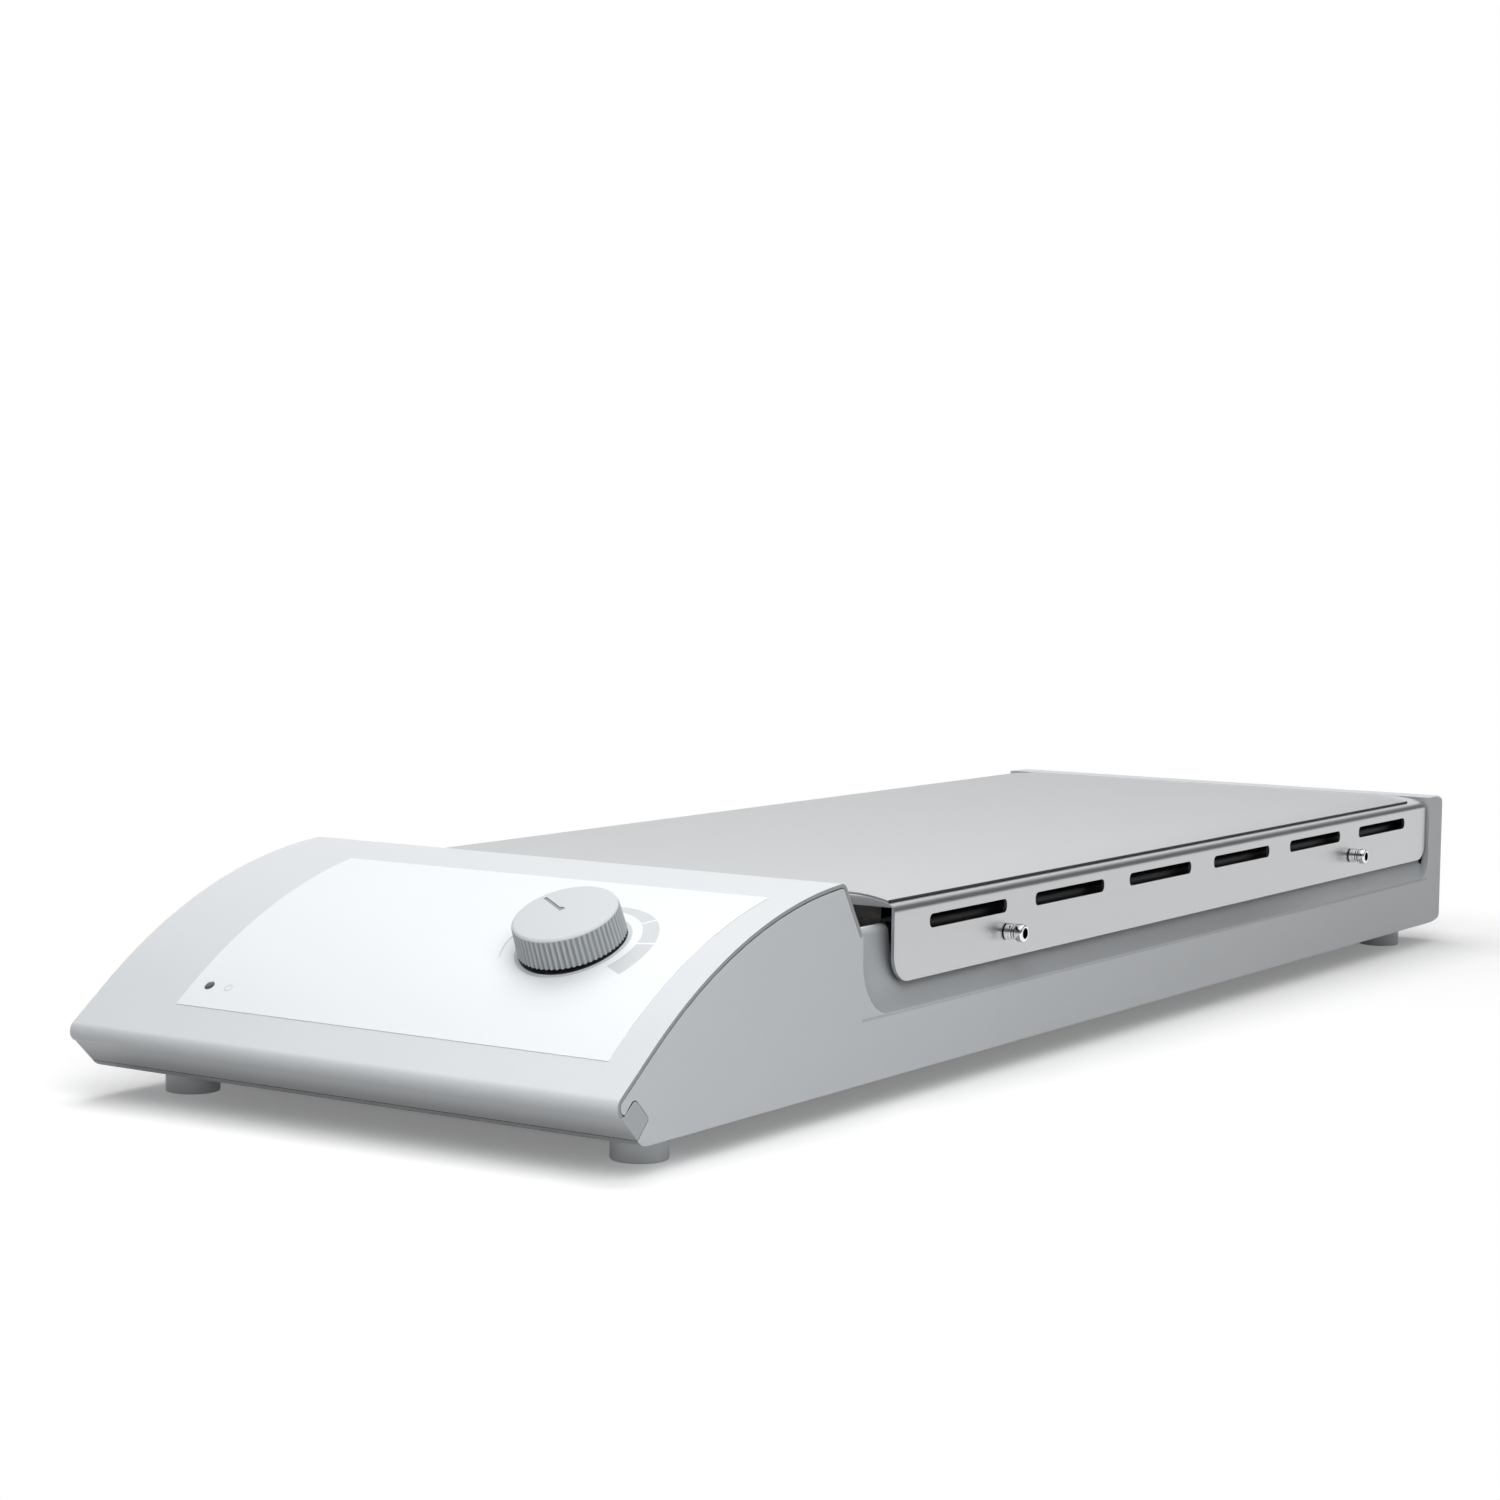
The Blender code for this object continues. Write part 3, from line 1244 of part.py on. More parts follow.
def build_inlet():
    """The mains inlet with its three blades, snapped into the back panel."""
    placement = panel_placement(inlet_place_x, inlet_height)
    face = seat_gap + inlet_flange_thickness
    border = inlet_flange_border
    flange = rounded_rectangle((0, 0), inlet_width + 2 * border, inlet_tall + 2 * border, border)
    inlet = prism("mains_inlet", flange, seat_gap, face, "Z", dark_plastic, placement)
    fuse(inlet, prism("inlet_body", inlet_outline(0), -inlet_depth, seat_gap + inlet_flange_thickness / 2,
                      "Z", None, placement))
    u, v, bevel = inlet_mouth_width / 2, inlet_mouth_tall / 2, inlet_mouth_chamfer
    mouth = [(-u, -v), (u, -v), (u, v - bevel), (u - bevel, v), (-u + bevel, v), (-u, v - bevel)]
    bed = face - inlet_mouth_depth
    cut(inlet, prism("inlet_mouth", mouth, bed, face + cut_overrun, "Z", None, placement))
    blades = {"line": (-pin_spacing, -pin_offset),
              "earth": (0, pin_offset),
              "neutral": (pin_spacing, -pin_offset)}
    for name, (x, y) in blades.items():
        low = (x - pin_width / 2, y - pin_tall / 2, -inlet_depth - pin_tab_length)
        high = (x + pin_width / 2, y + pin_tall / 2, bed + pin_length)
        block(f"inlet_pin_{name}", low, high, brass, placement)
        cut(inlet, block("pin_hole", (low[0] - seat_gap, low[1] - seat_gap, low[2]),
                         (high[0] + seat_gap, high[1] + seat_gap, high[2]), None, placement))


def build_fuse_holder():
    """A round fuse carrier with a slotted cap."""
    placement = panel_placement(fuse_place_x, inlet_height)
    flange_top = seat_gap + fuse_flange_thickness
    cap_top = flange_top + fuse_cap_height
    profile = [(0, -fuse_body_length), (fuse_body_radius, -fuse_body_length),
               (fuse_body_radius, seat_gap), (fuse_flange_radius, seat_gap),
               (fuse_flange_radius, flange_top), (fuse_cap_radius, flange_top),
               (fuse_cap_radius, cap_top), (0, cap_top)]
    holder = turned("fuse_holder", profile, medium_round, dark_plastic, placement)
    arm = fuse_cap_radius - fuse_slot_width
    cut(holder, block("cap_slot", (-arm, -fuse_slot_width / 2, cap_top - fuse_slot_depth),
                      (arm, fuse_slot_width / 2, cap_top + cut_overrun), None, placement))


def build_switch():
    """The mains switch: a snapped-in frame and a rocker that tips about its pivot."""
    placement = panel_placement(switch_place_x, inlet_height)
    face = seat_gap + switch_flange_thickness
    outer_u, outer_v = switch_width / 2, switch_tall / 2
    border = switch_flange_border
    frame = block("switch_frame", (-outer_u - border, -outer_v - border, seat_gap),
                  (outer_u + border, outer_v + border, face), dark_plastic, placement)
    fuse(frame, block("switch_body", (-outer_u, -outer_v, -switch_depth),
                      (outer_u, outer_v, seat_gap + switch_flange_thickness / 2), None, placement))
    inner_u, inner_v = outer_u - switch_frame, outer_v - switch_frame
    cut(frame, block("rocker_well", (-inner_u, -inner_v, -switch_depth + 2 * switch_frame),
                     (inner_u, inner_v, face + cut_overrun), None, placement))
    pivot = placement @ Matrix.Translation((0, 0, face + rocker_proud - rocker_dish - rocker_depth / 2))
    across = pivot @ Matrix.Rotation(math.pi / 2, 4, "Y")
    cut(frame, cylinder_cut("pivot_hole", rocker_pivot_radius + seat_gap, -outer_u + seat_gap,
                            outer_u - seat_gap, across, small_round))
    half_u = inner_u - rocker_clearance
    reach = inner_v - rocker_clearance
    tilted = pivot @ Matrix.Rotation(rocker_tilt, 4, "X")
    low, high = -rocker_depth / 2, rocker_depth / 2
    end_low = math.sqrt(reach ** 2 - low ** 2)
    end_high = math.sqrt(reach ** 2 - (high + rocker_dish) ** 2)
    outline = [(-end_low, low), (end_low, low), (end_high, high + rocker_dish), (0, high),
               (-end_high, high + rocker_dish)]
    rocker = prism("rocker_switch", outline, -half_u, half_u, "X", dark_plastic, tilted)
    turned_across = tilted @ Matrix.Rotation(math.pi / 2, 4, "Y")
    fuse(rocker, cylinder_cut("rocker_pivot", rocker_pivot_radius, -outer_u + 2 * seat_gap,
                              outer_u - 2 * seat_gap, turned_across, small_round))


def build_harness():
    """The sleeved mains wires, from behind the switch along the left wall to the board."""
    lane_x = -half_width + wall + harness_lane_inset
    low = floor_top + harness_floor_rise + harness_radius
    board_mid = board_bottom + board_thickness / 2
    switch_rear = overall_length - back_panel_depth - switch_depth
    bend = harness_bend
    rear_place = deck_rear_place + harness_radius + harness_floor_rise
    end_place = board_rear_place - board_hole_inset * 2
    knots = [(switch_place_x, switch_rear - harness_end_gap, inlet_height),
             (switch_place_x, switch_rear - harness_radius * 2, inlet_height),
             (switch_place_x - bend, rear_place, (inlet_height + low) / 2),
             (switch_place_x - harness_drop_reach, rear_place, low),
             (lane_x + bend, rear_place, low),
             (lane_x, rear_place - bend, low),
             (lane_x, (rear_place + end_place) / 2, low),
             (lane_x, end_place + 2 * bend, low),
             (lane_x + harness_radius, end_place + harness_climb_reach, board_mid),
             (-board_half_width - harness_radius * 2, end_place, board_mid),
             (-board_half_width - harness_end_gap, end_place, board_mid)]
    path = bpy.data.curves.new("mains_harness", "CURVE")
    path.dimensions = "3D"
    points = smooth_route([Vector((x, station(place), height)) for x, place, height in knots])
    spline = path.splines.new("POLY")
    spline.points.add(len(points) - 1)
    for point, spot in zip(spline.points, points):
        point.co = (*spot, 1.0)
    path.bevel_depth = harness_radius
    path.bevel_resolution = 2
    path.use_fill_caps = True
    harness = bpy.data.objects.new("mains_harness", path)
    path.materials.append(harness_sleeve)
    bpy.context.scene.collection.objects.link(harness)


def smooth_route(knots):
    """A smooth curve through the knots, with a few steps between each pair."""
    steps = 4
    route = []
    for index in range(len(knots) - 1):
        start, end = knots[index], knots[index + 1]
        before = knots[max(index - 1, 0)]
        after = knots[min(index + 2, len(knots) - 1)]
        span = (end - start).length
        leave = (end - before).normalized() * span
        arrive = (after - start).normalized() * span
        for step in range(steps):
            t = step / steps
            route.append(start * (2 * t ** 3 - 3 * t ** 2 + 1) + leave * (t ** 3 - 2 * t ** 2 + t)
                         + end * (3 * t ** 2 - 2 * t ** 3) + arrive * (t ** 3 - t ** 2))
    route.append(knots[-1])
    return route


clear_scene()
build_housing()
build_sill()
build_cover()
build_overlay()
build_work_plate()
build_film()
build_studs()
build_feet()
build_knob()
build_dial()
build_lamp()
build_board()
build_deck()
build_rotors()
build_belt()
build_motor()
build_inlet()
build_fuse_holder()
build_switch()
build_harness()
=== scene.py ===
import json
import math

import bmesh
import bpy
from mathutils import Matrix, Vector


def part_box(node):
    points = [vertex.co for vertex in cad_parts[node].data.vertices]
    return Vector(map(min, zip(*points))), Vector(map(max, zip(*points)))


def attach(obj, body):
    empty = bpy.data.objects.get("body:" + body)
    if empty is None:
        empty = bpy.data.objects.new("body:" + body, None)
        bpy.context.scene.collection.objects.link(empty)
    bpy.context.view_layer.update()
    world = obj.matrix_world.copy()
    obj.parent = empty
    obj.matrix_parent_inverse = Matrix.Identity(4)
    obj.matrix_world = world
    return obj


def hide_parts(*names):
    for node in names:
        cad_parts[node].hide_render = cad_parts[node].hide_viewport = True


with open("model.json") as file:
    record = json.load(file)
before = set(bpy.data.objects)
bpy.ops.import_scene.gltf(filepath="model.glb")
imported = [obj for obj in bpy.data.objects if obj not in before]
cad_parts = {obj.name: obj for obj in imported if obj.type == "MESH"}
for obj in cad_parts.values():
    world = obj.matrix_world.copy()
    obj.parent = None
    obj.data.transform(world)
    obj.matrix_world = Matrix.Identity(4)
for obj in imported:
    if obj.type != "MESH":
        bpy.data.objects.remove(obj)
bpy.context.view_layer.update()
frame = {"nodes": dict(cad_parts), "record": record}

# Camera and frame of the picture
camera_place = Vector((0.5107, -0.8682, 0.1609))
camera_aim = Vector((-0.0313, -0.0313, 0.0849))
camera_roll = math.radians(0.84)
camera_lens = 73.75
camera_sensor = 36.0
camera_clip = (0.01, 50.0)

# Lamps, as place, aim, size and power, and the light from all round
ambient_level = 0.17
lamps = {"key_light": ((0.40, -0.52, 0.55), (0.05, -0.12, 0.03), 0.5, 3.1),
         "top_light": ((-0.22, 0.08, 1.20), (0.0, 0.0, 0.05), 1.0, 8.5),
         "low_light": ((0.30, -0.72, 0.05), (0.05, -0.25, 0.01), 0.2, 0.20)}

# Floor: how far the shadow shows, its shade for bounced light and for the camera, and its own light
floor_size = 6.0
shadow_reach = 0.12
bounce_shade, seen_shade, lift_strength = 0.44, 0.95, 0.19

# The stirrer's overall sizes
overall_length = 0.552
overall_width = 0.182
half_width = overall_width / 2
seat_gap = 0.0003
touching_gap = 0.00004
cutter_reach = 0.004

# Console face: a rolled nose, a straight run, a long bend, a crest and a fold
nose_radius = 0.0030
nose_height = 0.0190
nose_roll = math.radians(122)
console_slope = math.radians(37)
console_radius = 0.165
crest_slope = math.radians(4)
crest_height = 0.0638
crest_radius = 0.0030
fold_slope = math.radians(58)
fold_end_height = 0.0490
cover_thickness = 0.0010
cover_cuts = (40, 6, 96, 20, 4)

# Sill under the nose: place, height and corner radius, from where the nose's roll ends
sill_toe = (0.0064, -0.0061, 0.0003)
sill_heel = (0.0110, -0.0014, 0.0005)
sill_crown = (0.0050, 0.0043, 0.0016)
sill_growth = 0.00017

# Overlay and what is printed on it
overlay_thickness = 0.00014
overlay_width = 0.1425
overlay_middle = 0.0098
overlay_start = 0.0111
overlay_length = 0.0796
overlay_corner = 0.0003
overlay_top = touching_gap + overlay_thickness
print_thickness = 0.00003
print_step = 0.0012

# Knob
knob_x = 0.0440
knob_run = 0.0528
knob_radius = 0.0147
knob_top_radius = 0.0143
knob_base = 0.0009
knob_height = 0.0095
knob_edge = 0.0012
knob_inner_edge = 0.0002
knob_ribs = 60
knob_rib_depth = 0.00055
knob_cavity_radius = 0.0125
knob_cavity_top = 0.0036
knob_bore_radius = 0.0033
knob_bore_top = 0.0074
bush_hole_radius = 0.0048
nut_window_radius = 0.0072
pointer_angle = math.radians(150)
pointer_inner = 0.0029
pointer_outer = 0.0120
pointer_width = 0.0010
pointer_depth = 0.0003
pointer_hook = 0.0006
skirt_inner = 0.0110
skirt_shadow = 0.0146
skirt_outer = 0.0158

# Speed scale, a wedge that widens clockwise round the knob
scale_thin_angle = math.radians(209)
scale_thick_angle = math.radians(-27)
scale_gap_angles = (math.radians(45.5), math.radians(10))
scale_gap = 0.0010
scale_inner = (0.0196, 0.0181)
scale_outer = (0.0199, 0.0243)
scale_growth = 1.35
scale_step = math.radians(1.5)

# Lamp, with a plain power sign beside it
lamp_x = -0.0553
lamp_run = 0.0190
lamp_radius = 0.00125
lamp_rise = 0.0004
lamp_hole_radius = 0.00155
lens_window_radius = 0.00150
lamp_collar = (0.0020, -0.0023, -0.0013)
sign_x = -0.0485
sign_radius = 0.00125
sign_line = 0.00028
sign_opening = math.radians(62)
sign_bar = 0.0011

# Work plate
plate_low, plate_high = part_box("work_plate")
plate_thickness = 0.0010
crown_radius = 0.048
crown_angle = math.radians(15.8)
bend_radius = 0.0028
plate_front_radius = 0.0008
plate_rear_radius = 0.0050
plate_corner = 0.0080
plate_lip = 0.0028
slot_count = 6
slot_first = 0.0195
slot_last = 0.0228
slot_bridge = 0.0178
slot_pitch = (plate_high.y - plate_low.y - slot_first - slot_last + slot_bridge) / slot_count
slot_length = slot_pitch - slot_bridge
slot_height = 0.0040
slot_corner = 0.0017
slot_level = 0.0487
stud_hole_radius = 0.0025
film_thickness = 0.0005
film_edge_angle = math.radians(14.9)
bead_width = 0.0006
bead_height = 0.0004
bead_round = 0.0003

# Studs on the flanges: radius, height above the flange and corner radius, as far as the head
stud_level = 0.0409
stud_places = tuple(sum(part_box(f"plate_stud_{end}_left"), Vector()).y / 2 for end in ("front", "rear"))
stud_profile = [
    (0, -0.0084, 0), (0.0016, -0.0084, 0.0002), (0.0016, -0.0029, 0.0001), (0.0030, -0.0029, 0.0002),
    (0.0030, -0.0013, 0.0002), (0.0022, -0.0013, 0.0001), (0.0022, seat_gap, 0.0001),
    (0.00255, seat_gap, 0.00025), (0.00255, 0.0025, 0.0002), (0.0021, 0.0025, 0.0001),
    (0.0021, 0.0029, 0.0001), (0.00255, 0.0029, 0.00015), (0.00255, 0.0033, 0.00015),
    (0.0021, 0.0033, 0.0001), (0.0021, 0.0037, 0.0001), (0.0026, 0.0037, 0.0002)]
stud_head_radius, stud_head_edge = 0.0026, 0.0006
stud_socket_radius, stud_socket_depth = 0.0017, 0.0020

# Feet, hollow where their screws sit
foot_bore_radius, foot_hollow_radius, foot_hollow_height = 0.0022, 0.0042, 0.0040

# How finely shapes are cut, and which corners stay sharp
round_steps = 96
drill_steps = 48
knob_steps = knob_ribs * 8
corner_steps = 6
arc_steps = 16
sharp_angle = math.radians(31)
smooth_angle = math.radians(25)
flat_angle = math.radians(0.3)
weld_distance = 0.000002

# How far the edges are rounded, of the built pieces and of the copied nodes
cover_rounding = 0.00015
sill_rounding = 0.00012
overlay_rounding = 0.00006
plate_rounding = 0.00018
film_rounding = 0.0002
edge_widths = {"base_housing": 0.00025, "mains_inlet": 0.0003, "inlet_pin_line": 0.0002,
               "inlet_pin_earth": 0.0002, "inlet_pin_neutral": 0.0002, "fuse_holder": 0.0002,
               "switch_frame": 0.00025, "rocker_switch": 0.0003}

behaviour = frame["record"]["behaviour"]
body_of = {node: body for body, nodes in behaviour["bodies"].items() for node in nodes}
slot_of = {part["node"]: part["material_slot"] for part in frame["record"]["subparts"]}


class Value:
    """A node's output that can be written in sums: each step adds one Math node to its tree."""

    def __init__(self, socket):
        self.socket = socket

    def __rsub__(self, other):
        return calc("SUBTRACT", other, self)

    def __abs__(self):
        return calc("ABSOLUTE", self)


for sign, operation in {"add": "ADD", "sub": "SUBTRACT", "mul": "MULTIPLY", "truediv": "DIVIDE",
                        "gt": "GREATER_THAN", "lt": "LESS_THAN"}.items():
    setattr(Value, f"__{sign}__", lambda first, second, operation=operation: calc(operation, first, second))


def feed(socket, value):
    """Link an output, or a node's first output, to a socket, or write a value on it."""
    if isinstance(value, Value):
        value = value.socket
    if isinstance(value, bpy.types.Node):
        value = value.outputs[0]
    if isinstance(value, bpy.types.NodeSocket):
        socket.id_data.links.new(value, socket)
    else:
        socket.default_value = value


def place(tree, kind, inputs=None, **settings):
    """Add a node to a tree, with its settings and its inputs by name or number."""
    made = tree.nodes.new(kind)
    for name, value in settings.items():
        setattr(made, name, value)
    for key, value in (inputs or {}).items():
        feed(made.inputs[key], value)
    return made


def calc(operation, *values):
    """The result of one Math node, in the tree that its first output comes from."""
    tree = next(value.socket for value in values if isinstance(value, Value)).id_data
    return Value(place(tree, "ShaderNodeMath", dict(enumerate(values)), operation=operation).outputs[0])


def larger(first, second):
    return calc("MAXIMUM", first, second)


def smaller(first, second):
    return calc("MINIMUM", first, second)


def distance(across, up):
    """How far a spot lies from an axis."""
    return calc("SQRT", across * across + up * up)


def ramp(value, low, high):
    """From 0 at the low value to 1 at the high one, softly."""
    inputs = {"Value": value, "From Min": low, "From Max": high}
    made = place(value.socket.id_data, "ShaderNodeMapRange", inputs, interpolation_type="SMOOTHSTEP")
    return Value(made.outputs[0])


def parts(vector):
    """The three parts of a vector."""
    return [Value(part) for part in place(vector.id_data, "ShaderNodeSeparateXYZ", {0: vector}).outputs]


def combined(x=0.0, y=0.0, z=0.0):
    """A vector from its three parts, of which one at least is an output."""
    tree = next(part.socket for part in (x, y, z) if isinstance(part, Value)).id_data
    return place(tree, "ShaderNodeCombineXYZ", {"X": x, "Y": y, "Z": z})


def mix(mask, first, second):
    """Two colours mixed by a mask."""
    inputs = {"Factor": mask, 6: first, 7: second}
    return place(mask.socket.id_data, "ShaderNodeMix", inputs, data_type="RGBA").outputs[2]


def group_tree(name, kind, inputs, outputs):
    """A node group, with the names of its inputs and outputs by type of socket."""
    tree = bpy.data.node_groups.new(name, kind)
    for side, sockets in (("INPUT", inputs), ("OUTPUT", outputs)):
        for kind_of_socket, titles in sockets.items():
            for title in titles:
                tree.interface.new_socket(name=title, in_out=side, socket_type="NodeSocket" + kind_of_socket)
    given = {socket.name: Value(socket) for socket in tree.nodes.new("NodeGroupInput").outputs if socket.name}
    return tree, given, tree.nodes.new("NodeGroupOutput").inputs


# Geometry trees

def shaping_tree(name, inputs):
    """A geometry tree that takes a piece and its finish besides its own inputs."""
    inputs = {"Geometry": ("Geometry",), **inputs, "Material": ("Finish",)}
    return group_tree(name, "GeometryNodeTree", inputs, {"Geometry": ("Geometry",)})


def end_tree(made, finish, result):
    """Realize Instances and Set Material, with which every tree ends."""
    tree = made.id_data
    real = place(tree, "GeometryNodeRealizeInstances", {"Geometry": made})
    feed(result["Geometry"], place(tree, "GeometryNodeSetMaterial", {"Geometry": real, "Material": finish}))
    return tree


def make_bend_step():
    """One stretch of a bent strip: how far it leads on and up, and how much it turns."""
    tree, given, result = group_tree("bend_step", "GeometryNodeTree",
                                     {"Float": ("Run", "Start", "Length", "Slope", "Turn")},
                                     {"Float": ("Along", "Up", "Turned")})
    smallest_half_turn = 0.0001
    gone = smaller(larger(given["Run"] - given["Start"], 0.0), given["Length"])
    turned = given["Turn"] * (gone / given["Length"])
    half = turned * 0.5
    bound = larger(abs(half), smallest_half_turn)
    chord = gone * (calc("SINE", bound) / bound)
    heading = given["Slope"] + half
    feed(result["Along"], chord * calc("COSINE", heading))
    feed(result["Up"], chord * calc("SINE", heading))
    feed(result["Turned"], turned)
    return tree


def console_stretches():
    """Length, slope at the start and turn of each stretch, and the run at which the first begins."""
    straight_start = nose_height + nose_radius * math.cos(console_slope)
    bend_rise = console_radius * (math.cos(crest_slope) - math.cos(console_slope))
    straight = (crest_height - straight_start - bend_rise) / math.sin(console_slope)
    crest_drop = crest_radius * (math.cos(crest_slope) - math.cos(fold_slope))
    fold = (crest_height - crest_drop - fold_end_height) / math.sin(fold_slope)
    bend = console_slope - crest_slope
    crest = crest_slope + fold_slope
    return [(nose_radius * nose_roll, console_slope + nose_roll, -nose_roll),
            (straight, console_slope, 0.0),
            (console_radius * bend, console_slope, -bend),
            (crest_radius * crest, crest_slope, -crest),
            (fold, -fold_slope, 0.0)], -nose_radius * nose_roll


def nose_lower_end():
    """Place and height at which the rolled nose begins."""
    polar = math.pi / 2 + console_slope + nose_roll
    return (nose_radius * (1 + math.cos(polar)) - overall_length / 2,
            nose_height + nose_radius * math.sin(polar))


def make_lay_on_console():
    """Moves flat geometry, with X across, Y along the run and Z as rise, onto the console's face."""
    tree, given, result = shaping_tree("lay_on_console", {"Float": ("Start Place", "Start Height")})
    step_tree = make_bend_step()
    across, run, rise = parts(place(tree, "GeometryNodeInputPosition").outputs[0])
    stretches, start = console_stretches()
    along, up = given["Start Place"], given["Start Height"]
    slope = stretches[0][1]
    for length, first_slope, turn in stretches:
        step = place(tree, "GeometryNodeGroup", {
            "Run": run, "Start": start, "Length": length, "Slope": first_slope, "Turn": turn},
            node_tree=step_tree).outputs
        along = along + step["Along"]
        up = up + step["Up"]
        slope = Value(step["Turned"]) + slope
        start += length
    there = combined(across, along - rise * calc("SINE", slope), up + rise * calc("COSINE", slope))
    moved = place(tree, "GeometryNodeSetPosition", {"Geometry": given["Geometry"], "Position": there})
    return end_tree(moved, given["Finish"], result)


def make_fluting():
    """Draws the wall of a turned piece in between its ribs, which run up its local Z."""
    tree, given, result = shaping_tree("fluting", {"Float": ("Ribs", "Depth", "Inner Radius", "Top", "Fade")})
    x, y, z = parts(place(tree, "GeometryNodeInputPosition").outputs[0])
    radius = distance(x, y)
    groove = 0.5 - calc("COSINE", calc("ARCTAN2", y, x) * given["Ribs"]) * 0.5
    fade = smaller(larger((given["Top"] - z) / given["Fade"], 0.0), 1.0)
    amount = groove * given["Depth"] * (fade * (radius > given["Inner Radius"]))
    share = 1.0 - amount / larger(radius, seat_gap)
    moved = place(tree, "GeometryNodeSetPosition", {"Geometry": given["Geometry"],
                                                    "Position": combined(x * share, y * share, z)})
    return end_tree(moved, given["Finish"], result)


def make_slot_row():
    """Cuts a row of round-cornered slots through both flanges, along Y."""
    tree, given, result = shaping_tree("slot_row", {
        "Int": ("Slots",), "Vector": ("First",), "Float": ("Pitch", "Length", "Height", "Corner", "Reach")})
    slot_weld = 0.00001
    outline = place(tree, "GeometryNodeCurvePrimitiveQuadrilateral",
                    {"Width": given["Length"], "Height": given["Height"]})
    outline = place(tree, "GeometryNodeFilletCurve",
                    {"Curve": outline, "Radius": given["Corner"], "Count": corner_steps}, mode="POLY")
    face = place(tree, "GeometryNodeFillCurve", {"Curve": outline}, mode="NGONS")
    depth = place(tree, "ShaderNodeCombineXYZ", {"Z": 1.0})
    raised = place(tree, "GeometryNodeExtrudeMesh", {
        "Mesh": face, "Offset": depth, "Offset Scale": given["Reach"], "Individual": False})
    closed = place(tree, "GeometryNodeJoinGeometry")
    feed(closed.inputs[0], place(tree, "GeometryNodeFlipFaces", {"Mesh": face}))
    feed(closed.inputs[0], raised)
    welded = place(tree, "GeometryNodeMergeByDistance", {"Geometry": closed, "Distance": slot_weld})
    centred = place(tree, "GeometryNodeTransform", {
        "Geometry": welded, "Translation": combined(given["Reach"] * -0.5),
        "Rotation": (math.pi / 2, 0, math.pi / 2)})
    line = place(tree, "GeometryNodeMeshLine", {"Count": given["Slots"], "Start Location": given["First"],
                                                "Offset": combined(y=given["Pitch"])})
    row = place(tree, "GeometryNodeInstanceOnPoints", {"Points": line, "Instance": centred})
    cutters = place(tree, "GeometryNodeRealizeInstances", {"Geometry": row})
    pierced = place(tree, "GeometryNodeMeshBoolean", {"Mesh 1": given["Geometry"], "Mesh 2": cutters},
                    operation="DIFFERENCE", solver="EXACT")
    return end_tree(pierced, given["Finish"], result)


def apply_tree(item, tree, **values):
    """Run a geometry tree on an item, with its inputs by name."""
    step = item.modifiers.new(tree.name, "NODES")
    sockets = {socket.name: socket.identifier for socket in tree.interface.items_tree
               if socket.item_type == "SOCKET" and socket.in_out == "INPUT"}
    step.node_group = tree
    for name, value in values.items():
        step[sockets[name.replace("_", " ").title()]] = value


# Mesh helpers

def new_item(name, shape, finish=None):
    """A bmesh as a named object, with its faces turned outwards."""
    bmesh.ops.recalc_face_normals(shape, faces=shape.faces[:])
    mesh = bpy.data.meshes.new(name)
    shape.to_mesh(mesh)
    shape.free()
    item = bpy.data.objects.new(name, mesh)
    bpy.context.scene.collection.objects.link(item)
    if finish is not None:
        mesh.materials.append(finish)
    return item


def settle(item, soft_edges=True):
    """Apply every modifier, put the place into the mesh and shade it smooth up to its sharp edges."""
    bpy.context.view_layer.update()
    graph = bpy.context.evaluated_depsgraph_get()
    mesh = bpy.data.meshes.new_from_object(item.evaluated_get(graph), preserve_all_data_layers=True,
                                           depsgraph=graph)
    mesh.transform(item.matrix_world)
    item.modifiers.clear()
    item.data = mesh
    item.matrix_world = Matrix.Identity(4)
    mesh.shade_smooth()
    if soft_edges:
        mesh.set_sharp_from_angle(angle=sharp_angle)


def round_edges(item, width, segments=2):
    """Round the sharp edges of a settled item, with flat faces kept flat and curved ones smooth."""
    shape = bmesh.new()
    shape.from_mesh(item.data)
    edges = [edge for edge in shape.edges if edge.is_manifold and edge.calc_face_angle() > sharp_angle]
    made = bmesh.ops.bevel(shape, geom=edges, offset=width, offset_type="OFFSET", segments=segments,
                           profile=0.5, affect="EDGES", clamp_overlap=True, miter_outer="ARC")
    rounded = set(made["faces"])
    shape.normal_update()
    closeness = math.cos(smooth_angle)
    areas = {face: face.calc_area() for face in shape.faces}

    def even(face, corner):
        alike = [other for other in corner.link_faces
                 if other not in rounded and other.normal.dot(face.normal) > closeness]
        return sum((other.normal * areas[other] for other in alike), Vector()).normalized()

    normals = []
    for face in shape.faces:
        for loop in face.loops:
            around = loop.vert.link_faces
            plain = [other for other in around if other not in rounded]
            if face not in rounded:
                normals.append(even(face, loop.vert))
            elif plain:
                normals.append(even(max(plain, key=lambda other: other.normal.dot(face.normal)), loop.vert))
            else:
                normals.append(sum((other.normal for other in around), Vector()).normalized())
    mesh = bpy.data.meshes.new(item.name)
    shape.to_mesh(mesh)
    shape.free()
    for finish in item.data.materials:
        mesh.materials.append(finish)
    mesh.shade_smooth()
    mesh.normals_split_custom_set(normals)
    item.data = mesh


def combine(item, operation, tools):
    """Let an item be cut by the tools, or kept only inside them, once it is settled."""
    for tool in tools:
        step = item.modifiers.new(operation, "BOOLEAN")
        step.operation = operation
        step.solver = "EXACT"
        step.object = tool


def carve(item, *tools):
    """Take the tools off the item, settle it and remove them."""
    combine(item, "DIFFERENCE", tools)
    settle(item)
    remove(*tools)


def remove(*items):
    for item in items:
        bpy.data.objects.remove(item, do_unlink=True)


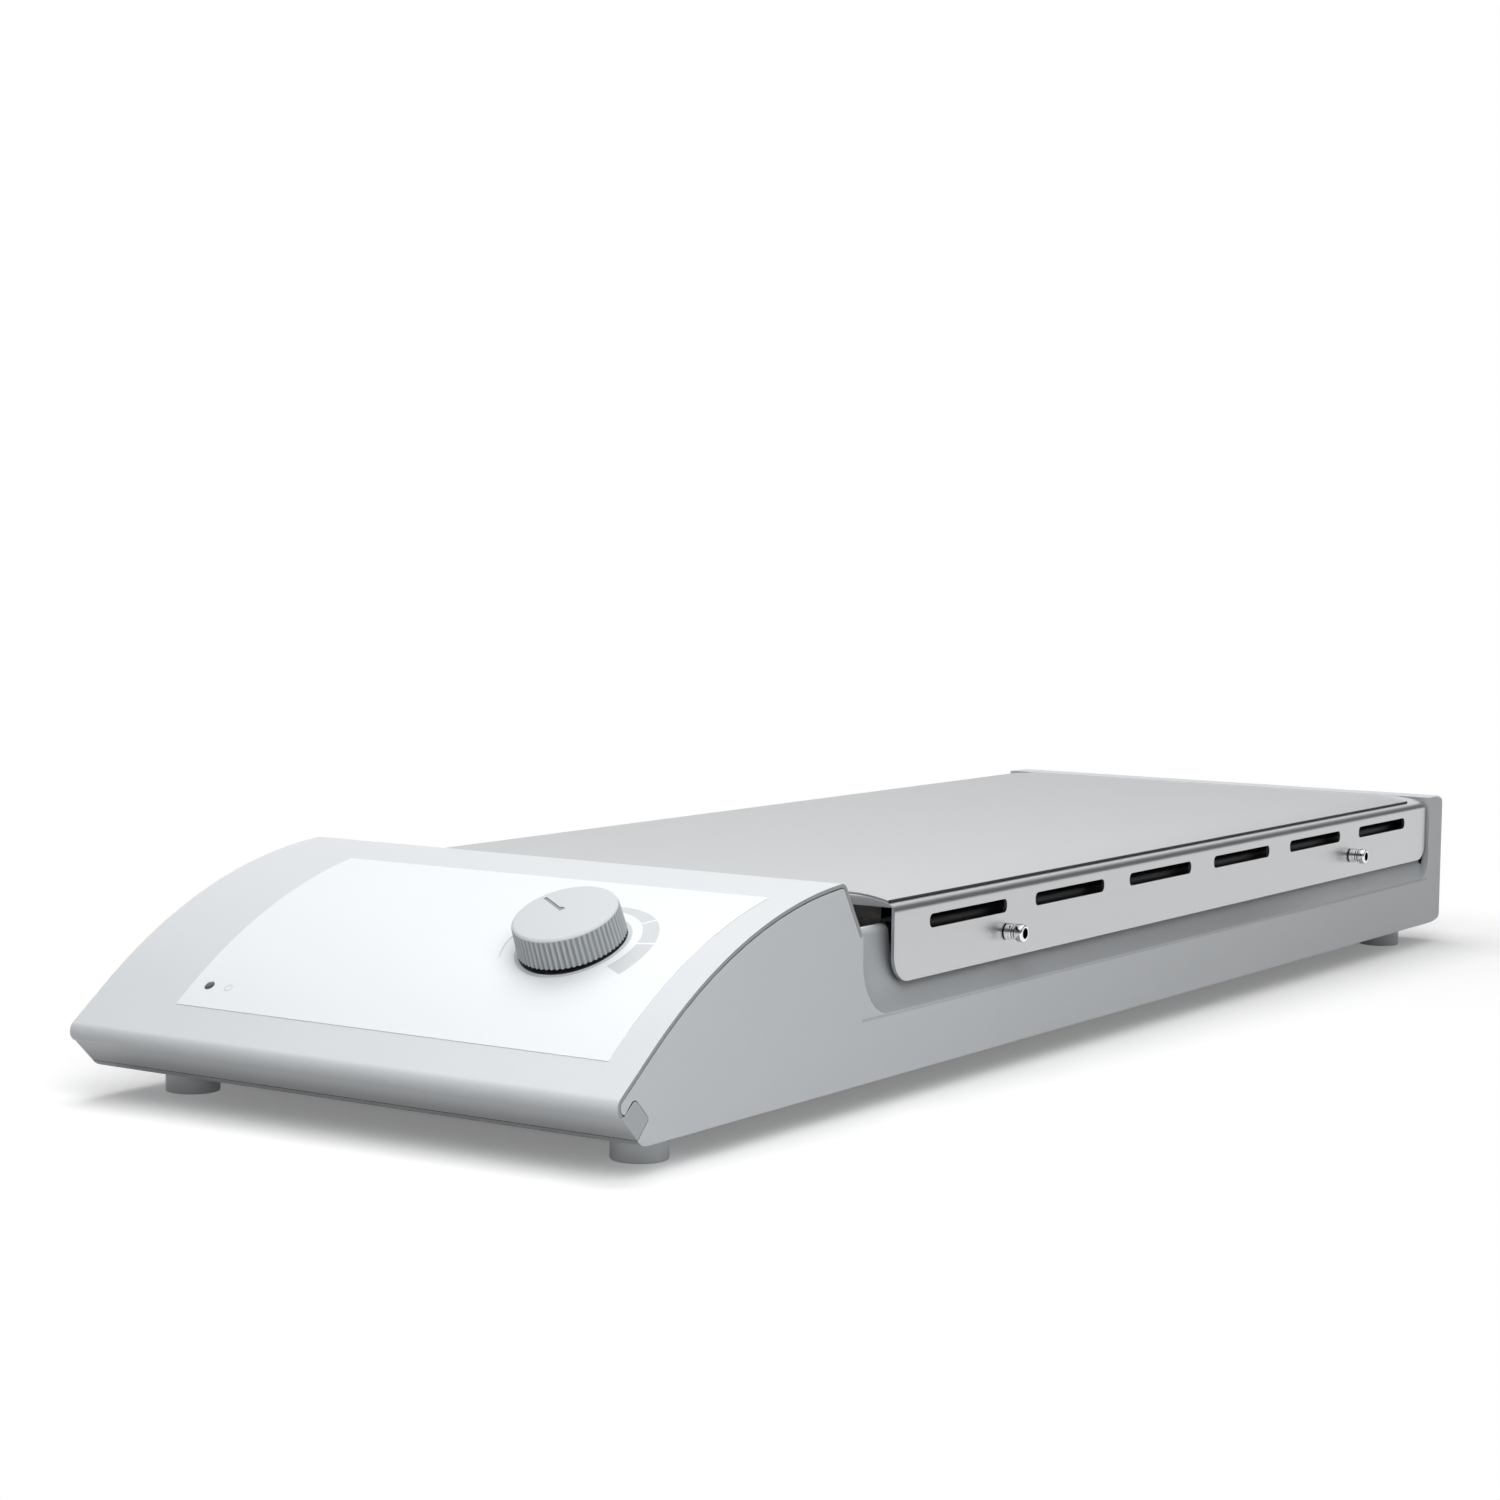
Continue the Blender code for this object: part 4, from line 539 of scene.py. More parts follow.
def arc(centre, radius, start, end, steps=arc_steps):
    """Points on an arc, both ends included."""
    angles = [start + (end - start) * index / steps for index in range(steps + 1)]
    return [(centre[0] + radius * math.cos(a), centre[1] + radius * math.sin(a)) for a in angles]


def filleted(corners, steps=corner_steps):
    """An open outline of (u, v, radius) corners with each inner corner rounded."""
    points = []
    for index, (u, v, radius) in enumerate(corners):
        here = Vector((u, v))
        if radius == 0 or index in (0, len(corners) - 1):
            points.append((u, v))
            continue
        before = (Vector(corners[index - 1][:2]) - here).normalized()
        after = (Vector(corners[index + 1][:2]) - here).normalized()
        half = before.angle(after) / 2
        centre = here + (before + after).normalized() * (radius / math.sin(half))
        first = here + before * (radius / math.tan(half)) - centre
        last = here + after * (radius / math.tan(half)) - centre
        start = math.atan2(first.y, first.x)
        points += arc(centre, radius, start, start - first.angle_signed(last), steps)
    return points


def bridged(name, shape, rings, closed=False, finish=None):
    """An item from rings of points: joined one to the next and closed to a loop, or over both ends."""
    pairs = list(zip(rings, rings[1:]))
    if closed:
        pairs.append((rings[-1], rings[0]))
    for end in () if closed else (rings[0], rings[-1]):
        if len(set(end)) > 2:
            shape.faces.new(end)
    for one, two in pairs:
        for index in range(len(one)):
            after = (index + 1) % len(one)
            corners = dict.fromkeys((one[index], one[after], two[after], two[index]))
            if len(corners) > 2:
                shape.faces.new(list(corners))
    return new_item(name, shape, finish)


def prism(name, outline, low, high, axis, finish=None):
    """A flat outline pushed from low to high along an axis: the outline is YZ, XZ or XY."""
    order = {"X": (2, 0, 1), "Y": (0, 2, 1), "Z": (0, 1, 2)}[axis]
    shape = bmesh.new()
    rings = [[shape.verts.new([(*spot, level)[index] for index in order]) for spot in outline]
             for level in (low, high)]
    return bridged(name, shape, rings, finish=finish)


def turned(name, profile, finish=None, placement=Matrix.Identity(4), steps=round_steps):
    """A (radius, height) profile turned about local Z: from the axis to the axis, or closed as a ring."""
    shape = bmesh.new()
    angles = [math.tau * index / steps for index in range(steps)]
    rings = [[shape.verts.new((radius * math.cos(a), radius * math.sin(a), height)) for a in angles]
             if radius else [shape.verts.new((0, 0, height))] * steps for radius, height in profile]
    item = bridged(name, shape, rings, profile[0][0] != 0, finish)
    item.matrix_world = placement
    return item


def drill(name, radius, low, high, placement, steps=drill_steps):
    """A round cutter on the local Z of a placement, or a hexagonal one with six steps."""
    return turned(name, [(0, low), (radius, low), (radius, high), (0, high)], None, placement, steps)


def ribbon(name, rows, low, high, closed=False):
    """A flat band in (across, run) between rows of two points each, from rise low to rise high."""
    shape = bmesh.new()
    rings = [[shape.verts.new((*spot, rise)) for spot, rise in (
        (first, low), (second, low), (second, high), (first, high))] for first, second in rows]
    return bridged(name, shape, rings, closed)


def adopt(item, node):
    """The item stands for a CAD node: it rides on that node's body, and the node is hidden."""
    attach(item, body_of[node])
    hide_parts(node)


def add_piece(item, body):
    """The item is a piece of its own, on a body."""
    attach(item, body)


# Places on the console

def console_spot(run):
    """Place, height and slope of a run on the console's outer face."""
    along, up = nose_lower_end()
    stretches, start = console_stretches()
    slope = stretches[0][1]
    for length, first_slope, turn in stretches:
        gone = min(max(run - start, 0.0), length)
        turned_by = turn * gone / length
        half = turned_by / 2
        chord = gone * (math.sin(half) / half if half else 1.0)
        along += chord * math.cos(first_slope + half)
        up += chord * math.sin(first_slope + half)
        slope += turned_by
        start += length
    return along, up, slope


def console_placement(x, run):
    """A frame on the console's face: local Z points out of the face and local Y up the slope."""
    y, height, slope = console_spot(run)
    return Matrix.Translation((x, y, height)) @ Matrix.Rotation(slope, 4, "X")


# Shader groups

def noise(tree, vector, scale, detail, roughness=0.5):
    """A cloudy value from 0 to 1."""
    inputs = {"Vector": vector, "Scale": scale, "Detail": detail, "Roughness": roughness}
    return Value(place(tree, "ShaderNodeTexNoise", inputs).outputs[0])


def make_grain():
    """Cloudy colour and gloss, and a fine grain as height."""
    tree, given, result = group_tree(
        "grain", "ShaderNodeTree",
        {"Vector": ("Vector",), "Color": ("Color",),
         "Float": ("Shade", "Roughness", "Spread", "Cloud Scale", "Grain Scale")},
        {"Color": ("Color",), "Float": ("Roughness", "Height")})
    fine = noise(tree, given["Vector"], given["Grain Scale"], 2.0, 0.55)
    drift = noise(tree, given["Vector"], given["Cloud Scale"], 5.0, 0.6) - 0.5
    speck = fine - 0.5
    shade = calc("MULTIPLY_ADD", drift + speck * 0.5, given["Shade"], 1.0)
    feed(result["Color"], place(tree, "ShaderNodeVectorMath", {0: given["Color"], "Scale": shade},
                                operation="SCALE"))
    gloss = calc("MULTIPLY_ADD", drift, given["Spread"], given["Roughness"])
    feed(result["Roughness"], calc("MULTIPLY_ADD", speck, given["Spread"], gloss))
    feed(result["Height"], fine)
    return tree


def make_edge_wear():
    """A lighter, slightly rubbed line along the edges."""
    tree, given, result = group_tree(
        "edge_wear", "ShaderNodeTree",
        {"Vector": ("Vector",), "Color": ("Color", "Edge Color"), "Float": ("Width", "Amount")},
        {"Color": ("Color",)})
    rubbing, patch_scale = 6.0, 300.0
    rounded = place(tree, "ShaderNodeBevel", {"Radius": given["Width"]}, samples=4)
    true = place(tree, "ShaderNodeNewGeometry").outputs["Normal"]
    facing = place(tree, "ShaderNodeVectorMath", {0: rounded, 1: true}, operation="DOT_PRODUCT")
    bend = (1.0 - Value(facing.outputs["Value"])) * rubbing
    mask = smaller(bend, 1.0) * noise(tree, given["Vector"], patch_scale, 3.0) * given["Amount"]
    feed(result["Color"], mix(mask, given["Color"], given["Edge Color"]))
    return tree


def make_layers():
    """Thin parallel lines across one axis, for stacked sheets and wound tape."""
    tree, given, result = group_tree(
        "layers", "ShaderNodeTree",
        {"Vector": ("Vector",), "Color": ("Color", "Line Color"), "Float": ("Line Scale", "Amount")},
        {"Color": ("Color",), "Float": ("Height",)})
    sharpness = 4.0
    wave = place(tree, "ShaderNodeTexWave", {
        "Vector": given["Vector"], "Scale": given["Line Scale"], "Distortion": 0.4, "Detail": 2.0},
        bands_direction="Z").outputs["Fac"]
    feed(result["Color"], mix(calc("POWER", Value(wave), sharpness) * given["Amount"],
                              given["Color"], given["Line Color"]))
    feed(result["Height"], wave)
    return tree


grain = make_grain()
edge_wear = make_edge_wear()
layers = make_layers()


def finish_material(name, base, roughness, metallic=0.0, shade=0.04, spread=0.06, cloud_scale=25.0,
                    grain_scale=900.0, grain_depth=0.00002, stretch=(1, 1, 1), edge=None, edge_amount=0.3,
                    edge_width=0.0005, lines=None, coat=0.0):
    """A Principled material with cloudy colour, gloss and grain, rubbed edges and, where given, lines."""
    made = bpy.data.materials.new(name)
    made.use_nodes = True
    tree = made.node_tree
    spot = place(tree, "ShaderNodeTexCoord").outputs["Object"]
    mapped = place(tree, "ShaderNodeMapping", {"Vector": spot, "Scale": stretch})
    tint, gloss, height = place(tree, "ShaderNodeGroup", {
        "Vector": mapped, "Color": (*base, 1), "Shade": shade, "Roughness": roughness, "Spread": spread,
        "Cloud Scale": cloud_scale, "Grain Scale": grain_scale}, node_tree=grain).outputs
    if lines is not None:
        line_colour, line_scale, amount, turn = lines
        aligned = place(tree, "ShaderNodeMapping", {"Vector": spot, "Rotation": turn})
        tint, line_height = place(tree, "ShaderNodeGroup", {
            "Vector": aligned, "Color": tint, "Line Color": (*line_colour, 1), "Line Scale": line_scale,
            "Amount": amount}, node_tree=layers).outputs
        height = Value(height) + line_height
    if edge is not None:
        tint = place(tree, "ShaderNodeGroup", {
            "Vector": spot, "Color": tint, "Edge Color": (*edge, 1), "Width": edge_width,
            "Amount": edge_amount}, node_tree=edge_wear).outputs["Color"]
    relief = place(tree, "ShaderNodeBump", {"Height": height, "Strength": 1.0, "Distance": grain_depth})
    for title, value in (("Metallic", metallic), ("Coat Weight", coat), ("Coat Roughness", coat_roughness),
                         ("Base Color", tint), ("Roughness", gloss), ("Normal", relief)):
        feed(tree.nodes["Principled BSDF"].inputs[title], value)
    return made


def inside_shade_mask(x, y, z, nx, ny, nz):
    """Painted shade on the housing's inner faces and on those behind the flanges."""
    inside_shade_level, inner_floor_level = 0.0395, 0.0150
    front_margin, rear_margin = 0.004, 0.011
    inside = abs(x) < half_width - plate_thickness
    inward = (calc("SIGN", x) * nx < -0.5) * inside
    on_floor = (nz > 0.5) * (z < inner_floor_level)
    behind = ((z > inside_shade_level) * inside * (y > plate_low.y + front_margin)
              * (y < plate_high.y - rear_margin))
    return larger(larger(inward, on_floor), behind)


def end_face_shade_mask(x, y, z, nx, ny, nz):
    """Painted shade on the faces that look along X, where a sheet or bar was cut."""
    return ramp(abs(nx), 0.5, 0.9)


def corner_shade_mask(x, y, z, nx, ny, nz):
    """Painted shade in inner corners, found by ambient occlusion, above a low level."""
    reach, low, high = 0.016, 0.012, 0.022
    around = place(z.socket.id_data, "ShaderNodeAmbientOcclusion", {"Distance": reach}, samples=8)
    return (1.0 - Value(around.outputs["AO"])) * ramp(z, low, high)


def knob_shade_mask(x, y, z, nx, ny, nz):
    """Painted shade on the knob's side wall, deeper in the valleys between its ribs, and in its pointer
    groove, found by their distance from its axis.
    """
    rib_shade, rib_change, pointer_shade = 0.33, 0.34, 0.62
    *spot, slope = console_spot(knob_run)
    x, y, z = parts(place(x.socket.id_data, "ShaderNodeMapping", {
        "Vector": combined(x, y, z), "Location": (knob_x, *spot), "Rotation": (slope, 0, 0)},
        vector_type="TEXTURE").outputs[0])
    radius = distance(x, y)
    taper = (knob_radius - knob_top_radius) / (knob_height - knob_base)
    crest = calc("MULTIPLY_ADD", z, -taper, knob_radius + taper * knob_base)
    depth = (crest - radius) / knob_rib_depth
    wall = (radius > knob_top_radius - 2 * knob_rib_depth) * (z < knob_height - knob_edge / 2)
    pointer = (radius < pointer_outer + pointer_width) * (z < knob_height - pointer_depth / 2)
    wall = calc("MULTIPLY_ADD", ramp(depth, 0.05, 0.9), rib_change, rib_shade) * wall
    return larger(wall, pointer * pointer_shade)


def stud_shade_mask(x, y, z, nx, ny, nz):
    """Painted shade in the studs' grooves and sockets, found by their distance from a stud's axis."""
    groove_radius, socket_radius, amount = 0.0024, 0.0016, 0.93
    radius = distance(smaller(*(abs(y - place_y) for place_y in stud_places)), z - stud_level)
    wall = (radius < groove_radius) * (abs(nx) < 0.6)
    return larger(wall, radius < socket_radius) * amount


def recess_shade_mask(x, y, z, nx, ny, nz):
    """Painted shade on the leaning wall under the flanges, with painted shade lines along its crease and its
    front.
    """
    crease_level = 0.0255
    recess_start, recess_end = -0.1626, 0.2603
    lean = half_width - abs(x)
    within = (y > recess_start) * (y < recess_end) * ramp(abs(nx), 0.2, 0.5)
    wall = calc("MULTIPLY_ADD", ramp(lean, 0.001, 0.004), -0.20, 0.52) * ramp(lean, 0.00002, 0.0004)
    wall = wall * calc("MULTIPLY_ADD", ramp(y, 0.08, 0.20), -0.9, 1.0)
    crease = 1.0 - ramp(abs(z - crease_level), 0.0002, 0.0006)
    front = ramp(lean, 0.0002, 0.001) * (1.0 - ramp(y, recess_start, recess_start + 0.0012))
    return larger(wall, larger(crease * 0.3, front * 0.7)) * within


def underside_shade_mask(start, end, amount):
    """Painted shade on the faces that look forwards, more so from one level down to another."""
    return lambda x, y, z, nx, ny, nz: ramp(z, start, end) * ramp(ny, -0.1, -0.4) * amount


def gap_shade_mask(x, y, z, nx, ny, nz):
    """Painted shade on the faces that look upwards, inside a gap that light doesn't reach."""
    gap_start = nose_lower_end()[0] + 0.0004
    return ramp(nz, 0.25, 0.45) * ramp(y, gap_start, gap_start + 0.0008)


coat_roughness = 0.15
# The tone of painted shade on the housing and the sill
painted_shade_tone = (0.20, 0.21, 0.22)
upright_lines, lines_along_x, lines_along_y = (0, 0, 0), (0, math.pi / 2, 0), (math.pi / 2, 0, 0)
housing_grey = ((0.71, 0.74, 0.765), 0.42, dict(grain_scale=1400, edge=(0.82, 0.84, 0.85)))
finishes = {name: finish_material(name, base, roughness, **more) for name, (base, roughness, more) in {
    "housing_paint": housing_grey,
    "sill_paint": housing_grey,
    "console_paint": ((0.735, 0.765, 0.79), 0.40, dict(grain_scale=1400, edge=(0.84, 0.86, 0.87))),
    "overlay_membrane": ((0.90, 0.935, 0.965), 0.42, dict(
        shade=0.015, grain_scale=2600, grain_depth=0.00001)),
    "plate_stainless": ((0.57, 0.58, 0.59), 0.32, dict(
        metallic=1.0, shade=0.03, cloud_scale=60, grain_scale=2500, grain_depth=0.0000012,
        stretch=(1, 0.03, 1), edge=(0.80, 0.81, 0.82), edge_amount=0.5)),
    "plate_silicone": ((0.60, 0.615, 0.625), 0.62, dict(shade=0.03, grain_scale=3000, grain_depth=0.00004)),
    # The feet's light grey rubber is made paler still, as painted light where the housing shades them
    "foot_rubber": ((0.90, 0.93, 0.95), 0.50, dict(grain_scale=1500)),
    "polished_chrome": ((0.86, 0.87, 0.88), 0.07, dict(
        metallic=1.0, shade=0.02, spread=0.03, grain_depth=0.000001)),
    "knob_plastic": ((0.66, 0.69, 0.71), 0.48, dict(
        grain_scale=3500, grain_depth=0.00001, edge=(0.80, 0.82, 0.83), edge_amount=0.35, edge_width=0.0002)),
    "dark_plastic": ((0.025, 0.026, 0.028), 0.42, dict(
        shade=0.15, grain_scale=3000, edge=(0.10, 0.10, 0.11), edge_amount=0.6, edge_width=0.0003)),
    "lamp_plastic": ((0.075, 0.08, 0.088), 0.16, dict(shade=0.1, coat=0.5, grain_depth=0.000002)),
    "zinc_steel": ((0.55, 0.56, 0.57), 0.34, dict(
        metallic=1.0, shade=0.10, spread=0.15, cloud_scale=120, grain_depth=0.000005)),
    "circuit_board": ((0.02, 0.13, 0.05), 0.45, dict(
        shade=0.10, lines=((0.10, 0.32, 0.12), 160, 0.7, lines_along_x))),
    "rotor_plastic": ((0.78, 0.78, 0.76), 0.42, dict(edge=(0.88, 0.88, 0.86))),
    "magnet_nickel": ((0.62, 0.60, 0.57), 0.24, dict(
        metallic=1.0, shade=0.06, spread=0.1, grain_depth=0.000004)),
    "motor_lamination": ((0.30, 0.31, 0.33), 0.45, dict(
        metallic=1.0, shade=0.15, lines=((0.05, 0.05, 0.06), 420, 0.8, upright_lines), grain_depth=0.00006)),
    "coil_tape": ((0.55, 0.34, 0.05), 0.50, dict(
        lines=((0.30, 0.17, 0.02), 90, 0.8, lines_along_y), grain_depth=0.00008)),
    "belt_rubber": ((0.018, 0.018, 0.019), 0.62, dict(shade=0.2)),
    "inlet_brass": ((0.74, 0.62, 0.40), 0.28, dict(metallic=1.0, shade=0.08, grain_depth=0.000004)),
    "harness_sleeve": ((0.035, 0.035, 0.038), 0.55, dict(shade=0.2, grain_scale=2200, grain_depth=0.00006)),
    "pale_ink": ((0.67, 0.69, 0.705), 0.45, dict(shade=0.02, grain_depth=0.000004)),
    "ring_ink": ((0.63, 0.655, 0.67), 0.45, dict(shade=0.03, grain_depth=0.000004)),
    # A near-black print under the knob, a painted shadow
    "painted_shadow_ink": ((0.03, 0.032, 0.035), 0.5, dict(shade=0.1, grain_depth=0.000004)),
    # A black bead that stands in for the shade line along the film's edges
    "shade_bead": ((0.018, 0.018, 0.018), 0.55, dict(shade=0.2)),
}.items()}

# Tones mixed into the base colours, where masks say so from a place's three parts and the way it faces: all
# of them are painted shade
for name, find_mask, tone in (
        ("housing_paint", corner_shade_mask, (0.16, 0.17, 0.18)),
        ("housing_paint", recess_shade_mask, painted_shade_tone),
        ("housing_paint", underside_shade_mask(0.0125, 0.0095, 0.75), painted_shade_tone),
        ("housing_paint", inside_shade_mask, (0.006, 0.007, 0.008)),
        ("console_paint", end_face_shade_mask, (0.37, 0.39, 0.40)),
        ("sill_paint", end_face_shade_mask, (0.50, 0.52, 0.54)),
        ("sill_paint", underside_shade_mask(0.0165, 0.0098, 0.60), painted_shade_tone),
        ("sill_paint", gap_shade_mask, (0.04, 0.042, 0.045)),
        ("knob_plastic", knob_shade_mask, (0.14, 0.15, 0.16)),
        ("polished_chrome", stud_shade_mask, (0.02, 0.022, 0.025))):
    tree = finishes[name].node_tree
    given = place(tree, "ShaderNodeTexCoord").outputs
    mask = find_mask(*parts(given["Object"]), *parts(given["Normal"]))
    target = tree.nodes["Principled BSDF"].inputs["Base Color"]
    feed(target, mix(mask, target.links[0].from_socket, (*tone, 1)))

for node, item in frame["nodes"].items():
    item.data.materials.clear()
    item.data.materials.append(finishes[slot_of[node]])

knob_placement = console_placement(knob_x, knob_run)
lamp_placement = console_placement(lamp_x, lamp_run)
lay_on_console = make_lay_on_console()


# Pieces

def laid(item, finish):
    """Bend a flat item onto the console's face."""
    along, up = nose_lower_end()
    apply_tree(item, lay_on_console, start_place=along, start_height=up, finish=finishes[finish])
    return item


def complete(item, node, rounding=None, tools=(), segments=2):
    """Cut and settle an item, round its edges and let it stand for a CAD node."""
    carve(item, *tools)
    if rounding:
        round_edges(item, rounding, segments)
    adopt(item, node)


def build_cover():
    """The bent sheet over the console, with a rounded rim all round."""
    stretches, run = console_stretches()
    runs = [run]
    for (length, slope, turn), count in zip(stretches, cover_cuts):
        runs += [run + length * (index + 1) / count for index in range(count)]
        run += length
    rows = [((-half_width, at), (half_width, at)) for at in runs]
    cover = laid(ribbon("cover_sheet", rows, -cover_thickness, 0.0), "console_paint")
    tools = (drill("bush_cutter", bush_hole_radius, -cutter_reach, cutter_reach, knob_placement),
             drill("pipe_cutter", lamp_hole_radius, -cutter_reach, cutter_reach, lamp_placement, 32))
    complete(cover, "console_cover", cover_rounding, tools)


def build_sill():
    """The bar under the nose, its rear corners drawn up close to the housing's notch."""
    start_y, start_z = nose_lower_end()
    first = (start_y + touching_gap, start_z - touching_gap, 0)
    pushes = ((sill_growth, -sill_growth), (2 * sill_growth, 0), (2 * sill_growth, 0))
    outline = [first]
    for (y, z, radius), (push_y, push_z) in zip((sill_toe, sill_heel, sill_crown), pushes):
        outline.append((start_y + y + push_y, start_z + z + push_z, radius))
    outline = filleted(outline + [first])[:-1]
    sill = prism("sill_bar", outline, -half_width, half_width, "X", finishes["sill_paint"])
    complete(sill, "front_sill", sill_rounding)


def build_overlay():
    """The white membrane, with its small corner radii and its two windows."""
    start, end, corner = overlay_start, overlay_start + overlay_length, overlay_corner
    left = overlay_middle - overlay_width / 2
    right = left + overlay_width
    turn = [corner * (1 - math.cos(math.pi / 2 * step / corner_steps)) for step in range(corner_steps)]
    level = end - corner - (start + corner)
    count = math.ceil(level / print_step)
    runs = ([start + d for d in turn] + [start + corner + level * index / count for index in range(count + 1)]
            + [end - d for d in reversed(turn)])
    rows = []
    for at in runs:
        depth = corner - min(at - start, end - at, corner)
        shrink = corner - math.sqrt(max(0.0, corner ** 2 - depth ** 2))
        rows.append(((left + shrink, at), (right - shrink, at)))
    overlay = laid(ribbon("overlay_sheet", rows, touching_gap, overlay_top), "overlay_membrane")
    tools = (drill("nut_cutter", nut_window_radius, 0, cutter_reach, knob_placement, 64),
             drill("lens_cutter", lens_window_radius, 0, cutter_reach, lamp_placement))
    complete(overlay, "console_overlay", overlay_rounding, tools)


def polar_rows(x, run, start, end, inner, outer, count=None):
    """Rows about a spot, from an inner to an outer radius, which are given as functions of the angle."""
    count = count or max(2, math.ceil(abs(end - start) / scale_step))
    angles = [start + (end - start) * index / count for index in range(count + 1)]
    return [tuple((x + radius(a) * math.cos(a), run + radius(a) * math.sin(a)) for radius in (inner, outer))
            for a in angles]


def printed(name, rows, ink, closed=False):
    """A thin layer on the overlay: print, or the painted shadow under the knob."""
    mark = ribbon(name, rows, overlay_top - print_thickness / 2, overlay_top + print_thickness, closed)
    settle(laid(mark, ink))
    add_piece(mark, "housing")


def build_prints():
    """The speed scale, the ring round the knob and a painted shadow under it, and the power sign."""
    sweep = scale_thin_angle - scale_thick_angle

    def between(thin, thick, power=1.0):
        return lambda angle: thin + (thick - thin) * max(0.0, (scale_thin_angle - angle) / sweep) ** power

    def even(radius):
        return lambda angle: radius

    half_gap = scale_gap / 2 / scale_outer[1]
    edges = [scale_thin_angle]
    for angle in scale_gap_angles:
        edges += [angle + half_gap, angle - half_gap]
    edges.append(scale_thick_angle)
    inner, outer = between(*scale_inner), between(*scale_outer, scale_growth)
    for index, (start, end) in enumerate(zip(edges[::2], edges[1::2])):
        stretch = polar_rows(knob_x, knob_run, start, end, inner, outer)
        printed(f"speed_scale_{index + 1}", stretch, "pale_ink")
    # The first ring is a painted shadow under the knob, the second a printed ring
    for name, inner, outer, ink in (("knob_shadow_print", skirt_inner, skirt_shadow, "painted_shadow_ink"),
                                    ("knob_ring_print", skirt_shadow, skirt_outer, "ring_ink")):
        ring = polar_rows(knob_x, knob_run, 0.0, math.tau, even(inner), even(outer))[:-1]
        printed(name, ring, ink, closed=True)
    start = math.pi / 2 + sign_opening / 2
    sign = polar_rows(sign_x, lamp_run, start, start + math.tau - sign_opening, even(sign_radius - sign_line),
                      even(sign_radius), 36)
    printed("power_sign_ring", sign, "pale_ink")
    bar = [((sign_x - sign_line / 2, at), (sign_x + sign_line / 2, at))
           for at in (lamp_run + sign_bar / 4, lamp_run + sign_radius * 1.1)]
    printed("power_sign_bar", bar, "pale_ink")


def build_knob():
    """The ribbed knob with its pointer groove, hollow underneath."""
    edge, finish = knob_inner_edge, finishes["knob_plastic"]
    profile = filleted([
        (0, knob_bore_top, 0), (knob_bore_radius, knob_bore_top, edge),
        (knob_bore_radius, knob_cavity_top, edge), (knob_cavity_radius, knob_cavity_top, 2 * edge),
        (knob_cavity_radius, knob_base, edge), (knob_radius, knob_base, edge),
        (knob_top_radius, knob_height, knob_edge), (0, knob_height, 0)])
    knob = turned("knob_body", profile, finish, steps=knob_steps)
    apply_tree(knob, make_fluting(), ribs=float(knob_ribs), depth=knob_rib_depth,
               inner_radius=knob_cavity_radius + knob_rib_depth, top=knob_height - knob_edge / 2,
               fade=knob_edge / 2, finish=finish)
    half = pointer_width / 2
    inner, hooked = pointer_inner - pointer_width, -half - pointer_hook
    outline = [(inner, hooked), (pointer_inner + half, hooked), (pointer_inner + pointer_width, -half),
               (pointer_outer, -half), (pointer_outer, half), (inner, half)]
    groove = prism("pointer_cutter", outline, knob_height - pointer_depth, knob_height + pointer_depth, "Z")
    groove.matrix_world = Matrix.Rotation(pointer_angle, 4, "Z")
    carve(knob, groove)
    knob.data.transform(knob_placement)
    adopt(knob, "speed_knob")


def plate_half_section(inset):
    """The right half of the plate's section as (x, height), from the crown's start to the flange."""
    top = plate_high.z
    bend_x = plate_high.x - bend_radius
    crown_x = bend_x + (bend_radius - crown_radius) * math.sin(crown_angle)
    crown_end = math.pi / 2 - crown_angle
    crown = arc((crown_x, top - crown_radius), crown_radius - inset, math.pi / 2, crown_end)
    bend_height = top - crown_radius + (crown_radius - bend_radius) * math.cos(crown_angle)
    bend = arc((bend_x, bend_height), bend_radius - inset, crown_end, 0)
    return crown, bend[1:]


def mirrored(points):
    return [(-x, height) for x, height in reversed(points)]


def plate_outline(inset, low):
    """The plate's side view, with its front and rear edges rounded."""
    front = plate_low.y + inset
    rear = plate_high.y - inset
    top = plate_high.z - inset
    nose = max(plate_front_radius - inset, seat_gap)
    heel = plate_rear_radius - inset
    return ([(front, low), (rear, low)] + arc((rear - heel, top - heel), heel, 0, math.pi / 2, 14)
            + arc((front + nose, top - nose), nose, math.pi / 2, math.pi, 8))


def plate_body(name, inset, low, start, end):
    """The plate's outer form as a solid, or the same drawn in by an inset."""
    reach = plate_high.x + cutter_reach
    crown, bend = plate_half_section(inset)
    right = crown + bend + [(plate_high.x - inset, low)]
    shape = prism(name, right + mirrored(right), start, end, "Y", finishes["plate_stainless"])
    side = prism(name + "_side", plate_outline(inset, low - cutter_reach), -reach, reach, "X")
    combine(shape, "INTERSECT", [side])
    settle(shape, False)
    remove(side)
    return shape


